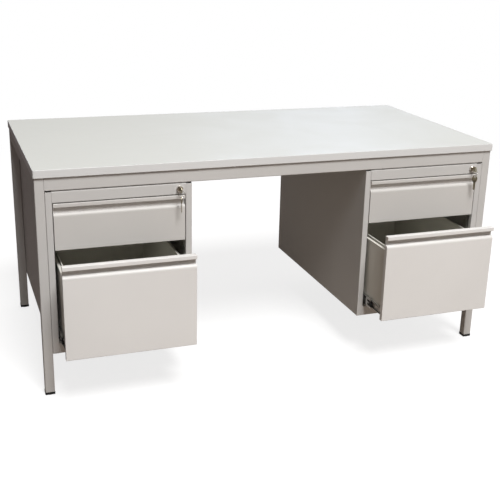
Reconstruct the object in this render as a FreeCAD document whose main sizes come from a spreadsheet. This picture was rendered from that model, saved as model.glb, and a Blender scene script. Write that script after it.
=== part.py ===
import FreeCAD, Part
import Sketcher
import os
import re

# Steel writing desk with two hanging pedestals, each with a file drawer, a top drawer and a lock.
# Desk frame: X to the right from the middle, Y back from the worktop's front edge, Z up from the floor.
# A pedestal's own X starts at its left outer face. Every placement shifts Y so that the origin lies
# under the middle of the whole object, with the file drawers standing open.

os.makedirs("parts", exist_ok=True)
doc = FreeCAD.newDocument("WritingDesk")
sheet = doc.addObject("Spreadsheet::Sheet", "Dims")

dimensions = {
    # overall
    "deskWidth": 1600,
    "deskDepth": 800,
    "deskHeight": 750,
    # worktop
    "boardThickness": 25,
    "bandThickness": 2,
    "bandCorner": 5,
    "bandEdge": 1.5,
    "bandBevel": 0.7,
    "topOverhang": 3,
    "frontOverhang": 6,
    # leg frame
    "legSize": 30,
    "legWall": 2,
    "legCorner": 3,
    "footCap": 7,
    "footStem": 20,
    "footEdge": 1.5,
    "railHeight": 42,
    "railDepth": 25,
    "railWall": 1.5,
    "railCorner": 2.5,
    "plateSize": 77,
    "plateThickness": 3,
    "plateHole": 24,
    # fasteners
    "screwShank": 4,
    "screwHead": 8.5,
    "screwHeadHeight": 2.8,
    "screwReach": 14,
    "boltShank": 5,
    "boltHead": 9,
    "boltHeadHeight": 3,
    "boltReach": 7,
    "boltInset": 80,
    "boltRearInset": 17,
    "holeGap": 0.5,
    # sheet metal
    "sheetMetal": 1,
    "bendOuter": 1.5,
    # pedestal body
    "pedWidth": 459,
    "pedHeight": 538,
    "legGap": 0.5,
    "pedRearInset": 9,
    "frontFlange": 20,
    "flangeReturn": 16,
    "rearFlange": 15,
    "topFlange": 14,
    "backTopFlange": 30,
    "baseRailHeight": 34,
    "lockRailHeight": 38.5,
    "lockRailTop": 21,
    "hemDrop": 7,
    # shadow gap between the front rail and a pedestal
    "shadowGap": 2,
    "shadowStep": 4,
    # drawer fronts
    "frontGap": 2,
    "middleGap": 3,
    "topFrontHeight": 151.5,
    "sideGap": 2.5,
    "frontDepth": 16,
    "faceRound": 10.5,
    "lipHeight": 12.5,
    "lipProjection": 2.5,
    "recessHeight": 14.5,
    "recessDepth": 9,
    "linerInset": 1.5,
    # how far the file drawers stand open
    "fileOpenLeft": 139,
    "fileOpenRight": 143,
    # file drawer box
    "boxRise": 19,
    "boxTopDrop": 56,
    "boxRearGap": 129,
    "wallThick": 12,
    "foldWidth": 8,
    "foldDrop": 14,
    "ridgeRise": 4,
    "backDrop": 12,
    # top drawer tray
    "trayRise": 9,
    "trayTopDrop": 62.5,
    "trayLength": 460,
    "trayFold": 8,
    # drawer slides
    "slideThickness": 13,
    "slideMetal": 1.2,
    "middleSetback": 3.8,
    "memberGap": 1.5,
    "middleHeight": 35,
    "innerHeight": 24,
    "slideFrontGap": 4,
    "slideRearGap": 36,
    "fileSlideHeight": 45,
    "fileSlideRise": 8,
    "topSlideHeight": 35,
    "topSlideRise": 25,
    "topSlideShort": 10,
    "ballGap": 0.3,
    "slideHole": 5,
    # uprights that carry the slides
    "uprightWidth": 16,
    "uprightSetback": 24,
    "midUpright": 437,
    "uprightRearInset": 23,
    # lock
    "lockInset": 41,
    "lockDrop": 19.5,
    "bezelSize": 20,
    "bezelProud": 9,
    "bezelEdge": 1.2,
    "barrelSize": 18,
    "barrelLength": 27,
    "plugSize": 13.4,
    "plugGap": 0.3,
    "crankSize": 28,
    "crankThick": 3,
    "crankRadius": 10,
    "crankPin": 5,
    "pinLength": 13,
    "slotGap": 0.8,
    # lock bar
    "barThick": 2,
    "barWidth": 16,
    "barSetback": 45,
    "barInset": 11,
    "armHeight": 17,
    "catchSetback": 50,
    "catchLength": 14,
    "catchReach": 10,
    "catchHeight": 12,
    "catchNose": 3,
    "fileCatchDrop": 12,
    "trayCatchDrop": 8,
    "fingerGap": 3,
    "fingerTip": 2,
    "guideHeight": 12,
    "guideGap": 0.4,
    # keys
    "keyThick": 2.2,
    "bowSize": 20,
    "bowFront": 18,
    "bladeHeight": 8,
    "bladeLength": 20,
    "keyHole": 6.5,
    "keyHoleShift": 4,
    "ringSize": 21,
    "ringWire": 1.5,
    "ringHang": 0.6,
    "spareLength": 58,
    "spareBow": 19,
    "spareBlade": 7,
    "keyNotch": 2,
}
for row, (alias, number) in enumerate(dimensions.items(), 1):
    sheet.set(f"A{row}", alias)
    sheet.set(f"B{row}", str(number))
    sheet.setAlias(f"B{row}", alias)
doc.recompute()

# ---- places that follow from the sizes ----
boardBottom = "(deskHeight-boardThickness)"
railBottom = f"({boardBottom}-railHeight)"
frameFront = "(frontOverhang)"
frameRear = "(deskDepth-topOverhang)"
legOuter = "(deskWidth/2-topOverhang)"
legInner = f"({legOuter}-legSize)"
endFace = f"({legOuter}-railDepth)"
pedBottom = f"({railBottom}-pedHeight)"
pedFront = frameFront
pedRear = f"({frameRear}-pedRearInset)"
pedBack = f"({pedRear}-2*sheetMetal)"
leftPed = f"(-({legInner}-legGap))"
rightPed = f"({legInner}-legGap-pedWidth)"
originY = "((deskDepth+frontOverhang-lipProjection-fileOpenRight)/2)"
baseTop = f"({pedBottom}+baseRailHeight)"
lockRailBottom = f"({railBottom}-lockRailHeight)"
topFrontTop = f"({lockRailBottom}-frontGap)"
topFrontBottom = f"({topFrontTop}-topFrontHeight)"
fileFrontTop = f"({topFrontBottom}-middleGap)"
fileFrontBottom = f"({baseTop}+frontGap)"
frontLeft = "(frontFlange+sideGap)"
frontRight = "(pedWidth-frontFlange-sideGap)"
frontBack = f"({pedFront}+frontDepth)"
wallLeft = "(frontFlange+slideThickness)"
boxBottom = f"({fileFrontBottom}+boxRise)"
boxTop = f"({fileFrontTop}-boxTopDrop)"
boxRear = f"({pedRear}-boxRearGap)"
trayBottom = f"({topFrontBottom}+trayRise)"
trayTop = f"({topFrontTop}-trayTopDrop)"
trayRear = f"({frontBack}+trayLength)"
slideFront = f"({frontBack}+slideFrontGap)"
innerTip = "(middleSetback+slideMetal+memberGap)"
fileSlideEnd = f"({boxRear}-slideRearGap)"
topSlideEnd = f"({trayRear}-topSlideShort)"
fileSlideMid = f"({boxBottom}+fileSlideRise)"
topSlideMid = f"({trayBottom}+topSlideRise)"
lockX = "(pedWidth-lockInset)"
lockZ = f"({railBottom}-lockDrop)"
crankReach = "(crankRadius/sqrt(2))"
barrelEnd = f"({pedFront}+barrelLength)"
plugEnd = f"({barrelEnd}+6)"
armFront = f"({pedFront}+barSetback)"
armBack = f"({armFront}+barThick)"
barRight = "(pedWidth-barInset)"
barLeft = "(pedWidth-barInset-barThick)"
wallRight = "(pedWidth-frontFlange-slideThickness)"
fileCatchTop = f"({boxTop}-fileCatchDrop)"
trayCatchTop = f"({trayTop}-trayCatchDrop)"
keyHoleY = f"({pedFront}-bezelProud-bowFront+2)"
ringTop = f"({lockZ}-keyHole/2+ringWire/2+ringHang)"
ringCentre = f"({ringTop}-ringSize/2)"
ringBottom = f"({ringTop}-ringSize)"

faults = []
nodes = []
counter = [0]


def bound(text):
    return re.sub(r"[A-Za-z_]\w*", lambda m: m.group(0) if m.group(0) == "sqrt" else "Dims." + m.group(0),
                  str(text))


def value(text):
    return float(sheet.evalExpression(bound(text)))


def place(item, x="0", y="0", z="0"):
    # y is measured in the desk frame
    item.setExpression("Placement.Base.x", bound(x))
    item.setExpression("Placement.Base.y", bound(f"{y}-{originY}"))
    item.setExpression("Placement.Base.z", bound(z))


def node(item, label):
    item.Label = label
    nodes.append(item)
    return item


def new_body(name, x="0", y="0", z="0"):
    body = doc.addObject("PartDesign::Body", name)
    place(body, x, y, z)
    return body


def group(label, members):
    item = doc.addObject("Part::Compound", label)
    item.Links = members
    return node(item, label)


def flip(corners):
    return [(f"pedWidth-({c[0]})",) + tuple(c[1:]) for c in corners]


def rect(x0, x1, y0, y1, r=None):
    tail = () if r is None else (r,)
    return [(x0, y0) + tail, (x1, y0) + tail, (x1, y1) + tail, (x0, y1) + tail]


def circle(x, y, size):
    return ("circle", x, y, size)


def sign(number):
    return (number > 1e-9) - (number < -1e-9)


def fix(sketch, kind, first, second, text):
    index = sketch.addConstraint(Sketcher.Constraint(kind, *first, *second, value(text)))
    sketch.setExpression(f"Constraints[{index}]", bound(text))


def add_circle(sketch, x, y, size):
    centre = FreeCAD.Vector(value(x), value(y), 0)
    index = sketch.addGeometry(Part.Circle(centre, FreeCAD.Vector(0, 0, 1), value(size) / 2), False)
    fix(sketch, "DistanceX", (-1, 1), (index, 3), x)
    fix(sketch, "DistanceY", (-1, 1), (index, 3), y)
    fix(sketch, "Diameter", (index,), (), size)


def add_loop(sketch, corners):
    # each corner is (x, y) or (x, y, radius); rounded corners join edges along the axes
    points = [(value(c[0]), value(c[1])) for c in corners]
    count = len(corners)
    ends = []
    for i, corner in enumerate(corners):
        here = points[i]
        if len(corner) < 3:
            ends.append((corner[:2], corner[:2], here, here, None))
            continue
        radius = corner[2]
        size = value(radius)
        steps = []
        for other in (points[i - 1], points[(i + 1) % count]):
            way = (sign(other[0] - here[0]), sign(other[1] - here[1]))
            text = tuple(f"({corner[k]}){'+' if way[k] > 0 else '-'}({radius})" if way[k] else corner[k]
                         for k in (0, 1))
            steps.append((way, text, (here[0] + way[0] * size, here[1] + way[1] * size)))
        ends.append((steps[0][1], steps[1][1], steps[0][2], steps[1][2],
                     (radius, size, steps[0][0], steps[1][0])))
    lines = []
    for i in range(count):
        a = ends[i][3]
        b = ends[(i + 1) % count][2]
        segment = Part.LineSegment(FreeCAD.Vector(a[0], a[1], 0), FreeCAD.Vector(b[0], b[1], 0))
        lines.append(sketch.addGeometry(segment, False))
    for i in range(count):
        after = (i + 1) % count
        fix(sketch, "DistanceX", (-1, 1), (lines[i], 1), ends[i][1][0])
        fix(sketch, "DistanceY", (-1, 1), (lines[i], 1), ends[i][1][1])
        if ends[after][4] is None:
            sketch.addConstraint(Sketcher.Constraint("Coincident", lines[i], 2, lines[after], 1))
        else:
            fix(sketch, "DistanceX", (-1, 1), (lines[i], 2), ends[after][0][0])
            fix(sketch, "DistanceY", (-1, 1), (lines[i], 2), ends[after][0][1])
    for i in range(count):
        if ends[i][4] is None:
            continue
        radius, size, back, ahead = ends[i][4]
        corner = FreeCAD.Vector(points[i][0], points[i][1], 0)
        centre = corner + FreeCAD.Vector(back[0] + ahead[0], back[1] + ahead[1], 0) * size
        middle = centre + (corner - centre).normalize() * size
        a = FreeCAD.Vector(ends[i][2][0], ends[i][2][1], 0)
        b = FreeCAD.Vector(ends[i][3][0], ends[i][3][1], 0)
        arc = sketch.addGeometry(Part.Arc(a, middle, b), False)
        first = 1 if (sketch.getPoint(arc, 1) - a).Length < 1e-6 else 2
        sketch.addConstraint(Sketcher.Constraint("Coincident", arc, first, lines[i - 1], 2))
        sketch.addConstraint(Sketcher.Constraint("Coincident", arc, 3 - first, lines[i], 1))
        fix(sketch, "Radius", (arc,), (), radius)


def draw(body, role, at, loops):
    counter[0] += 1
    sketch = body.newObject("Sketcher::SketchObject", f"Sketch{counter[0]}")
    origin = next(f for f in body.Origin.OriginFeatures if f.Role == role)
    sketch.AttachmentSupport = [(origin, "")]
    sketch.MapMode = "FlatFace"
    away = f"-({at})" if role == "XZ_Plane" else at
    sketch.setExpression("AttachmentOffset.Base.z", bound(away))
    for loop in loops:
        if loop[0] == "circle":
            add_circle(sketch, *loop[1:])
        else:
            add_loop(sketch, loop)
    return sketch


def pad(body, role, start, stop, *loops):
    # adds the outline from start to stop along the plane's own axis
    sketch = draw(body, role, start, loops)
    feature = body.newObject("PartDesign::Pad", f"Pad{counter[0]}")
    feature.Profile = sketch
    feature.Reversed = role == "XZ_Plane"
    feature.setExpression("Length", bound(f"({stop})-({start})"))
    return feature


def cut(body, role, start, stop, *loops):
    sketch = draw(body, role, start, loops)
    feature = body.newObject("PartDesign::Pocket", f"Cut{counter[0]}")
    feature.Profile = sketch
    feature.Reversed = role != "XZ_Plane"
    feature.setExpression("Length", bound(f"({stop})-({start})"))
    return feature


def round_edges(body, base, pick, radius):
    doc.recompute()
    names = [f"Edge{i}" for i, edge in enumerate(base.Shape.Edges, 1) if pick(edge.BoundBox)]
    feature = body.newObject("PartDesign::Fillet", f"Round{counter[0]}")
    feature.Base = (base, names)
    feature.setExpression("Radius", bound(radius))
    return feature


def bevel_edges(body, base, pick, size):
    doc.recompute()
    names = [f"Edge{i}" for i, edge in enumerate(base.Shape.Edges, 1) if pick(edge.BoundBox)]
    feature = body.newObject("PartDesign::Chamfer", f"Bevel{counter[0]}")
    feature.Base = (base, names)
    feature.setExpression("Size", bound(size))
    return feature


def shell(body, base, pick, thickness):
    doc.recompute()
    names = [f"Face{i}" for i, face in enumerate(base.Shape.Faces, 1) if pick(face.BoundBox)]
    feature = body.newObject("PartDesign::Thickness", f"Shell{counter[0]}")
    feature.Base = (base, names)
    feature.Reversed = True
    feature.Mode = 0
    feature.Join = 0
    feature.setExpression("Value", bound(thickness))
    return feature


def near(a, b):
    return abs(a - b) < 1e-6


# ---- worktop ----
plateHoles = []
for sideX in ("-", ""):
    for y in (f"{frameFront}+railDepth+plateHole", f"{frameRear}-railDepth-plateHole"):
        plateHoles.append((f"{sideX}({endFace}-plateHole)", y))

board = new_body("worktop_board")
halfCore = "(deskWidth/2-bandThickness)"
pad(board, "XY_Plane", boardBottom, "deskHeight",
    rect(f"-{halfCore}", halfCore, "bandThickness", "deskDepth-bandThickness"))
cut(board, "XY_Plane", boardBottom, f"{boardBottom}+screwReach+1",
    *[circle(x, y, "screwShank+holeGap") for x, y in plateHoles])
node(board, "worktop_board")

band = new_body("worktop_edge_band")
ring = pad(band, "XY_Plane", boardBottom, "deskHeight",
           rect("-deskWidth/2", "deskWidth/2", "0", "deskDepth", "bandCorner"),
           rect(f"-{halfCore}", halfCore, "bandThickness", "deskDepth-bandThickness"))


def band_rim(box):
    flat = near(box.ZMin, box.ZMax)
    outside = (near(box.YMin, 0) or near(box.YMax, value("deskDepth"))
               or near(box.XMin, -value("deskWidth/2")) or near(box.XMax, value("deskWidth/2")))
    return flat and outside


rounded = round_edges(band, ring, lambda box: band_rim(box) and near(box.ZMax, value("deskHeight")), "bandEdge")
bevel_edges(band, rounded, lambda box: band_rim(box) and near(box.ZMax, value(boardBottom)), "bandBevel")
node(band, "worktop_edge_band")

# ---- legs and their foot plugs ----
plugs = []
legPlaces = {
    "leg_front_left": (f"-{legOuter}", frameFront),
    "leg_front_right": (legInner, frameFront),
    "leg_rear_left": (f"-{legOuter}", f"({frameRear}-legSize)"),
    "leg_rear_right": (legInner, f"({frameRear}-legSize)"),
}
for label, (x, y) in legPlaces.items():
    leg = new_body(label, x, y)
    pad(leg, "XY_Plane", "footCap", boardBottom,
        rect("0", "legSize", "0", "legSize", "legCorner"),
        rect("legWall", "legSize-legWall", "legWall", "legSize-legWall"))
    node(leg, label)
    plug = new_body(label.replace("leg", "plug"), x, y)
    cap = pad(plug, "XY_Plane", "0", "footCap", rect("0", "legSize", "0", "legSize", "legCorner"))
    bevel_edges(plug, cap, lambda box: near(box.ZMax, 0), "footEdge")
    inner = "(legWall+ballGap)"
    pad(plug, "XY_Plane", "footCap", "footCap+footStem",
        rect(inner, f"legSize-{inner}", inner, f"legSize-{inner}"))
    plugs.append(plug)
group("foot_plugs", plugs)

# ---- rails under the worktop ----
boltXs = [f"({ped}+{x})" for ped in (leftPed, rightPed) for x in ("boltInset", "pedWidth-boltInset")]
boltYs = {"front_rail": f"({frameFront}+railDepth/2)", "rear_rail": f"({frameRear}-boltRearInset)"}
for label, y0 in (("front_rail", frameFront), ("rear_rail", f"({frameRear}-railDepth)")):
    rail = new_body(label)
    pad(rail, "YZ_Plane", f"-{legInner}", legInner,
        rect(y0, f"{y0}+railDepth", railBottom, boardBottom, "railCorner"),
        rect(f"{y0}+railWall", f"{y0}+railDepth-railWall", f"{railBottom}+railWall",
             f"{boardBottom}-railWall"))
    cut(rail, "XY_Plane", f"{railBottom}-1", f"{railBottom}+railWall+1",
        *[circle(x, boltYs[label], "boltShank+holeGap") for x in boltXs])
    node(rail, label)
endRails = []
for label, x0 in (("leftEndRail", f"(-{legOuter})"), ("rightEndRail", f"({legOuter}-railDepth)")):
    rail = new_body(label)
    pad(rail, "XZ_Plane", f"{frameFront}+legSize", f"{frameRear}-legSize",
        rect(x0, f"{x0}+railDepth", railBottom, boardBottom, "railCorner"),
        rect(f"{x0}+railWall", f"{x0}+railDepth-railWall", f"{railBottom}+railWall",
             f"{boardBottom}-railWall"))
    endRails.append(rail)
group("end_rails", endRails)

# ---- corner plates in the frame's angles, and their screws ----
plates = []
for sideX in ("-", ""):
    for rear in (False, True):
        def along(offset, rear=rear):
            return f"{frameRear}-({offset})" if rear else f"{frameFront}+({offset})"

        def across(offset, sideX=sideX):
            return f"{sideX}({legOuter}-({offset}))"

        plate = new_body(f"plate{len(plates)}")
        pad(plate, "XY_Plane", f"{boardBottom}-plateThickness", boardBottom, [
            (across("legSize"), along("railDepth")),
            (across("railDepth+plateSize"), along("railDepth")),
            (across("railDepth"), along("railDepth+plateSize")),
            (across("railDepth"), along("legSize")),
            (across("legSize"), along("legSize")),
        ])
        cut(plate, "XY_Plane", f"{boardBottom}-plateThickness-1", f"{boardBottom}+1",
            circle(across("railDepth+plateHole"), along("railDepth+plateHole"), "screwShank+holeGap"))
        plates.append(plate)
group("corner_plates", plates)


def hexagon(size):
    # across corners, as a fixed share of the flats' width
    half, corner = f"({size}/2)", f"({size}/sqrt(3))"
    return [(corner, "0"), (f"{corner}/2", half), (f"-{corner}/2", half), (f"-{corner}", "0"),
            (f"-{corner}/2", f"-{half}"), (f"{corner}/2", f"-{half}")]


def octagon(size):
    # across corners, for a shank that repeats many times
    half, diagonal = f"({size}/2)", f"({size}/2/sqrt(2))"
    return [(half, "0"), (diagonal, diagonal), ("0", half), (f"-{diagonal}", diagonal), (f"-{half}", "0"),
            (f"-{diagonal}", f"-{diagonal}"), ("0", f"-{half}"), (diagonal, f"-{diagonal}")]


def fastener(name, x, y, seat, head, headHeight, shank, reach):
    body = new_body(name, x, y)
    pad(body, "XY_Plane", f"{seat}-{headHeight}", seat, hexagon(head))
    pad(body, "XY_Plane", seat, f"{seat}+{reach}", octagon(shank))
    return body


fasteners = []
for x, y in plateHoles:
    fasteners.append(fastener(f"screw{len(fasteners)}", x, y, f"({boardBottom}-plateThickness)",
                              "screwHead", "screwHeadHeight", "screwShank",
                              "(plateThickness+screwReach)"))
for y in boltYs.values():
    for x in boltXs:
        fasteners.append(fastener(f"screw{len(fasteners)}", x, y, f"({railBottom}-sheetMetal)",
                                  "boltHead", "boltHeadHeight", "boltShank", "boltReach"))
group("frame_screws", fasteners)


# ---- drawer slides: t runs from the pedestal's slide face towards the drawer ----
def slide_bar(name, left, ped, y, start, end, mid, outline):
    body = new_body(name, ped, y)
    corners = [(f"frontFlange+({t})", f"{mid}+({z})") for t, z in outline]
    pad(body, "XZ_Plane", start, end, corners if left else flip(corners))
    return body


def channel(web, tip, half):
    # web face and flange tips, both as distances t; half the height
    inward = "+" if value(tip) > value(web) else "-"
    skin = f"{web}{inward}slideMetal"
    return [(web, f"-{half}"), (tip, f"-{half}"), (tip, f"-{half}+slideMetal"), (skin, f"-{half}+slideMetal"),
            (skin, f"{half}-slideMetal"), (tip, f"{half}-slideMetal"), (tip, half), (web, half)]


def web_holes(body, left, web, start, mid, steps):
    at = f"frontFlange+({web})-0.5"
    low, high = at, f"{at}+slideMetal+1"
    if not left:
        low, high = f"pedWidth-({high})", f"pedWidth-({at})"
    cut(body, "YZ_Plane", low, high, *[circle(f"{start}+{step}", mid, "slideHole") for step in steps])


def slide_parts(prefix, kind, ped, shifts, end, mid):
    # returns the outer, middle and inner members on both sides, with their ball strips
    made = {"outer": [], "middle": [], "inner": []}
    half = f"({kind}SlideHeight/2)"
    race = f"({half}-slideMetal)"
    for left in (True, False):
        side = "Left" if left else "Right"
        tag = f"{prefix}_{kind}{side}"
        tip = "(slideThickness-3.5)" if kind == "file" else "(slideThickness-2)"
        outer = slide_bar(f"{tag}Outer", left, ped, shifts["outer"], slideFront, end, mid,
                          channel("0", tip, half))
        made["outer"].append(outer)
        inner = slide_bar(f"{tag}Inner", left, ped, shifts["inner"], slideFront, end, mid,
                          channel("slideThickness", innerTip, "(innerHeight/2)"))
        web_holes(inner, left, "slideThickness-slideMetal", slideFront, mid, ("30", "62"))
        made["inner"].append(inner)
        if kind == "file":
            middle = slide_bar(f"{tag}Middle", left, ped, shifts["middle"], slideFront, end, mid,
                               channel("middleSetback", "(slideThickness-1)", "(middleHeight/2)"))
            web_holes(middle, left, "middleSetback", slideFront, mid, ("16",))
            made["middle"].append(middle)
            outside = (f"({slideFront}+({end}-{slideFront})*8/15)", f"({end}-40)")
            inside = (f"({slideFront}+20)", f"({slideFront}+({end}-{slideFront})*13/30)")
            strips = [("middleSetback+0.7", "slideThickness-4.5", "middleHeight/2+ballGap", f"{race}-ballGap",
                       outside, "middle"),
                      (f"{innerTip}+0.5", "slideThickness-2", "innerHeight/2+ballGap",
                       "middleHeight/2-slideMetal-ballGap", inside, "middle")]
        else:
            strips = [(f"{innerTip}+0.5", "slideThickness-2.5", "innerHeight/2+ballGap", f"{race}-ballGap",
                       (f"({end}-100)", f"({end}-10)"), "inner")]
        for number, (t0, t1, z0, z1, run, rides) in enumerate(strips):
            for upper in (True, False):
                low, high = (z0, z1) if upper else (f"-({z1})", f"-({z0})")
                strip = slide_bar(f"{tag}Strip{number}{'Up' if upper else 'Down'}", left, ped, shifts[rides],
                                  run[0], run[1], mid, rect(t0, t1, low, high))
                made[rides].append(strip)
    return made


# ---- drawer front: folded pan below, hooked grip above ----
def drawer_front(label, ped, y, bottom, top):
    body = new_body(label, ped, y)
    faceTop = f"({top}-lipHeight-recessHeight)"
    pan = pad(body, "YZ_Plane", frontLeft, frontRight, [
        (pedFront, bottom, "bendOuter"), (frontBack, bottom), (frontBack, faceTop),
        (pedFront, faceTop, "faceRound")])
    back = value(frontBack)
    hollow = shell(body, pan, lambda box: near(box.YMin, back) and near(box.YMax, back), "sheetMetal")
    lipFront = f"({pedFront}-lipProjection)"
    wall = f"({pedFront}+recessDepth)"
    pad(body, "YZ_Plane", frontLeft, frontRight, [
        (wall, f"{faceTop}-sheetMetal/2"),
        (wall, f"{top}-sheetMetal"),
        (f"{lipFront}+sheetMetal", f"{top}-sheetMetal"),
        (f"{lipFront}+sheetMetal", f"{top}-lipHeight"),
        (lipFront, f"{top}-lipHeight"),
        (lipFront, top, "bendOuter"),
        (frontBack, top),
        (frontBack, f"{top}-hemDrop"),
        (f"{frontBack}-sheetMetal", f"{top}-hemDrop"),
        (f"{frontBack}-sheetMetal", f"{top}-sheetMetal"),
        (f"{wall}+sheetMetal", f"{top}-sheetMetal"),
        (f"{wall}+sheetMetal", f"{faceTop}-sheetMetal/2"),
    ])
    return node(body, label)


def liner(body, bottom, top):
    # the inner sheet that closes the pan's back
    pad(body, "XZ_Plane", frontBack, f"{frontBack}+sheetMetal",
        rect(f"{frontLeft}+linerInset", f"{frontRight}-linerInset", f"{bottom}+2", f"{top}-2"))


def catch(label, ped, y, top):
    # riveted to the box's right wall: the lock bar's finger stops its flat front, and its
    # ramp lets a drawer be pushed shut past a raised finger
    body = new_body(label, ped, y)
    front, low = f"({pedFront}+catchSetback)", f"({top}-catchHeight)"
    pad(body, "YZ_Plane", wallRight, f"{wallRight}+catchReach", [
        (front, low), (f"{front}+catchNose", low), (f"{front}+catchLength", f"{top}-catchNose"),
        (f"{front}+catchLength", top), (front, top)])
    return node(body, label)


# alike pieces of both pedestals, which share one sub-part each
shared = {"slide_uprights": [], "file_slide_outer": [], "top_slide_outer": [], "lock_bar_guides": []}


def pedestal(prefix, ped, openBy, ringTurn, spareTurn):
    def name(tail):
        return f"{prefix}_{tail}"

    # -- folded side sheets
    sideSection = [
        ("rearFlange", pedRear), ("0", pedRear, "bendOuter"), ("0", pedFront, "bendOuter"),
        ("frontFlange", pedFront, "bendOuter"), ("frontFlange", f"{pedFront}+flangeReturn"),
        ("frontFlange-sheetMetal", f"{pedFront}+flangeReturn"),
        ("frontFlange-sheetMetal", f"{pedFront}+sheetMetal"),
        ("sheetMetal", f"{pedFront}+sheetMetal"),
        ("sheetMetal", f"{pedRear}-sheetMetal"), ("rearFlange", f"{pedRear}-sheetMetal"),
    ]
    flangeSheet = rect("sheetMetal/2", "topFlange+sheetMetal", f"{pedFront}+flangeReturn+8",
                       f"{pedBack}-backTopFlange-8")
    for tail, mirrored in (("pedestal_left_side", False), ("pedestal_right_side", True)):
        side = new_body(name(tail), ped)
        pad(side, "XY_Plane", pedBottom, railBottom, flip(sideSection) if mirrored else sideSection)
        pad(side, "XY_Plane", f"{railBottom}-sheetMetal", railBottom,
            flip(flangeSheet) if mirrored else flangeSheet)
        gapSheet = rect("-1", "frontFlange+1", f"{pedFront}-1", f"{pedFront}+flangeReturn+shadowStep")
        cut(side, "XY_Plane", f"{railBottom}-shadowGap", f"{railBottom}+1",
            flip(gapSheet) if mirrored else gapSheet)
        node(side, name(tail))

    # -- back sheet with its top flange
    innerLeft, innerRight = "sheetMetal", "pedWidth-sheetMetal"
    backOut = f"({pedRear}-sheetMetal)"
    back = new_body(name("pedestal_back"), ped)
    pad(back, "YZ_Plane", innerLeft, innerRight, [
        (backOut, pedBottom), (backOut, railBottom, "bendOuter"), (f"{backOut}-backTopFlange", railBottom),
        (f"{backOut}-backTopFlange", f"{railBottom}-sheetMetal"),
        (pedBack, f"{railBottom}-sheetMetal"), (pedBack, pedBottom)])
    cut(back, "XY_Plane", f"{railBottom}-sheetMetal-1", f"{railBottom}+1",
        *[circle(x, boltYs["rear_rail"], "boltShank+holeGap") for x in ("boltInset", "pedWidth-boltInset")])
    node(back, name("pedestal_back"))

    # -- bottom sheet folded up into the base rail, notched round the side flanges
    bottom = new_body(name("pedestal_bottom"), ped)
    hemBack = f"({pedFront}+flangeReturn)"
    pad(bottom, "YZ_Plane", innerLeft, innerRight, [
        (pedFront, pedBottom, "bendOuter"), (pedBack, pedBottom), (pedBack, f"{pedBottom}+sheetMetal"),
        (f"{pedFront}+sheetMetal", f"{pedBottom}+sheetMetal"),
        (f"{pedFront}+sheetMetal", f"{baseTop}-sheetMetal"),
        (f"{hemBack}-sheetMetal", f"{baseTop}-sheetMetal"), (f"{hemBack}-sheetMetal", f"{baseTop}-hemDrop"),
        (hemBack, f"{baseTop}-hemDrop"), (hemBack, baseTop), (pedFront, baseTop, "bendOuter")])
    cut(bottom, "XY_Plane", f"{pedBottom}-1", f"{baseTop}+1",
        rect("0", "frontFlange", f"{pedFront}-1", hemBack),
        rect("pedWidth-frontFlange", "pedWidth", f"{pedFront}-1", hemBack))
    node(bottom, name("pedestal_bottom"))

    # -- lock rail, with its top edge stepped down in front to leave the shadow gap
    rail = new_body(name("lock_rail"), ped)
    gapBottom, stepBack = f"({railBottom}-shadowGap)", f"({pedFront}+shadowStep)"
    pad(rail, "YZ_Plane", "frontFlange", "pedWidth-frontFlange", [
        (pedFront, lockRailBottom, "bendOuter"), (hemBack, lockRailBottom),
        (hemBack, f"{lockRailBottom}+hemDrop"), (f"{hemBack}-sheetMetal", f"{lockRailBottom}+hemDrop"),
        (f"{hemBack}-sheetMetal", f"{lockRailBottom}+sheetMetal"),
        (f"{pedFront}+sheetMetal", f"{lockRailBottom}+sheetMetal"),
        (f"{pedFront}+sheetMetal", f"{gapBottom}-sheetMetal"),
        (f"{stepBack}+sheetMetal", f"{gapBottom}-sheetMetal"),
        (f"{stepBack}+sheetMetal", f"{railBottom}-sheetMetal"),
        (f"{pedFront}+lockRailTop", f"{railBottom}-sheetMetal"), (f"{pedFront}+lockRailTop", railBottom),
        (stepBack, railBottom), (stepBack, gapBottom), (pedFront, gapBottom, "bendOuter")])
    cut(rail, "XZ_Plane", f"{pedFront}-1", f"{pedFront}+sheetMetal+1",
        circle(lockX, lockZ, "barrelSize+holeGap"))
    cut(rail, "XY_Plane", f"{railBottom}-sheetMetal-1", f"{railBottom}+1",
        *[circle(x, boltYs["front_rail"], "boltShank+holeGap") for x in ("boltInset", "pedWidth-boltInset")])
    node(rail, name("lock_rail"))

    # -- channel uprights that carry the slides
    uprights = []
    uprightFronts = (f"({pedFront}+uprightSetback)", f"({pedFront}+midUpright)",
                     f"({fileSlideEnd}-uprightRearInset)")
    for start in uprightFronts:
        section = [("sheetMetal", start), ("frontFlange", start), ("frontFlange", f"{start}+uprightWidth"),
                   ("sheetMetal", f"{start}+uprightWidth"),
                   ("sheetMetal", f"{start}+uprightWidth-sheetMetal"),
                   ("frontFlange-sheetMetal", f"{start}+uprightWidth-sheetMetal"),
                   ("frontFlange-sheetMetal", f"{start}+sheetMetal"), ("sheetMetal", f"{start}+sheetMetal")]
        for mirrored in (False, True):
            upright = new_body(f"{prefix}Upright{len(uprights)}", ped)
            pad(upright, "XY_Plane", f"{pedBottom}+sheetMetal", f"{railBottom}-sheetMetal",
                flip(section) if mirrored else section)
            uprights.append(upright)
    shared["slide_uprights"] += uprights

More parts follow.
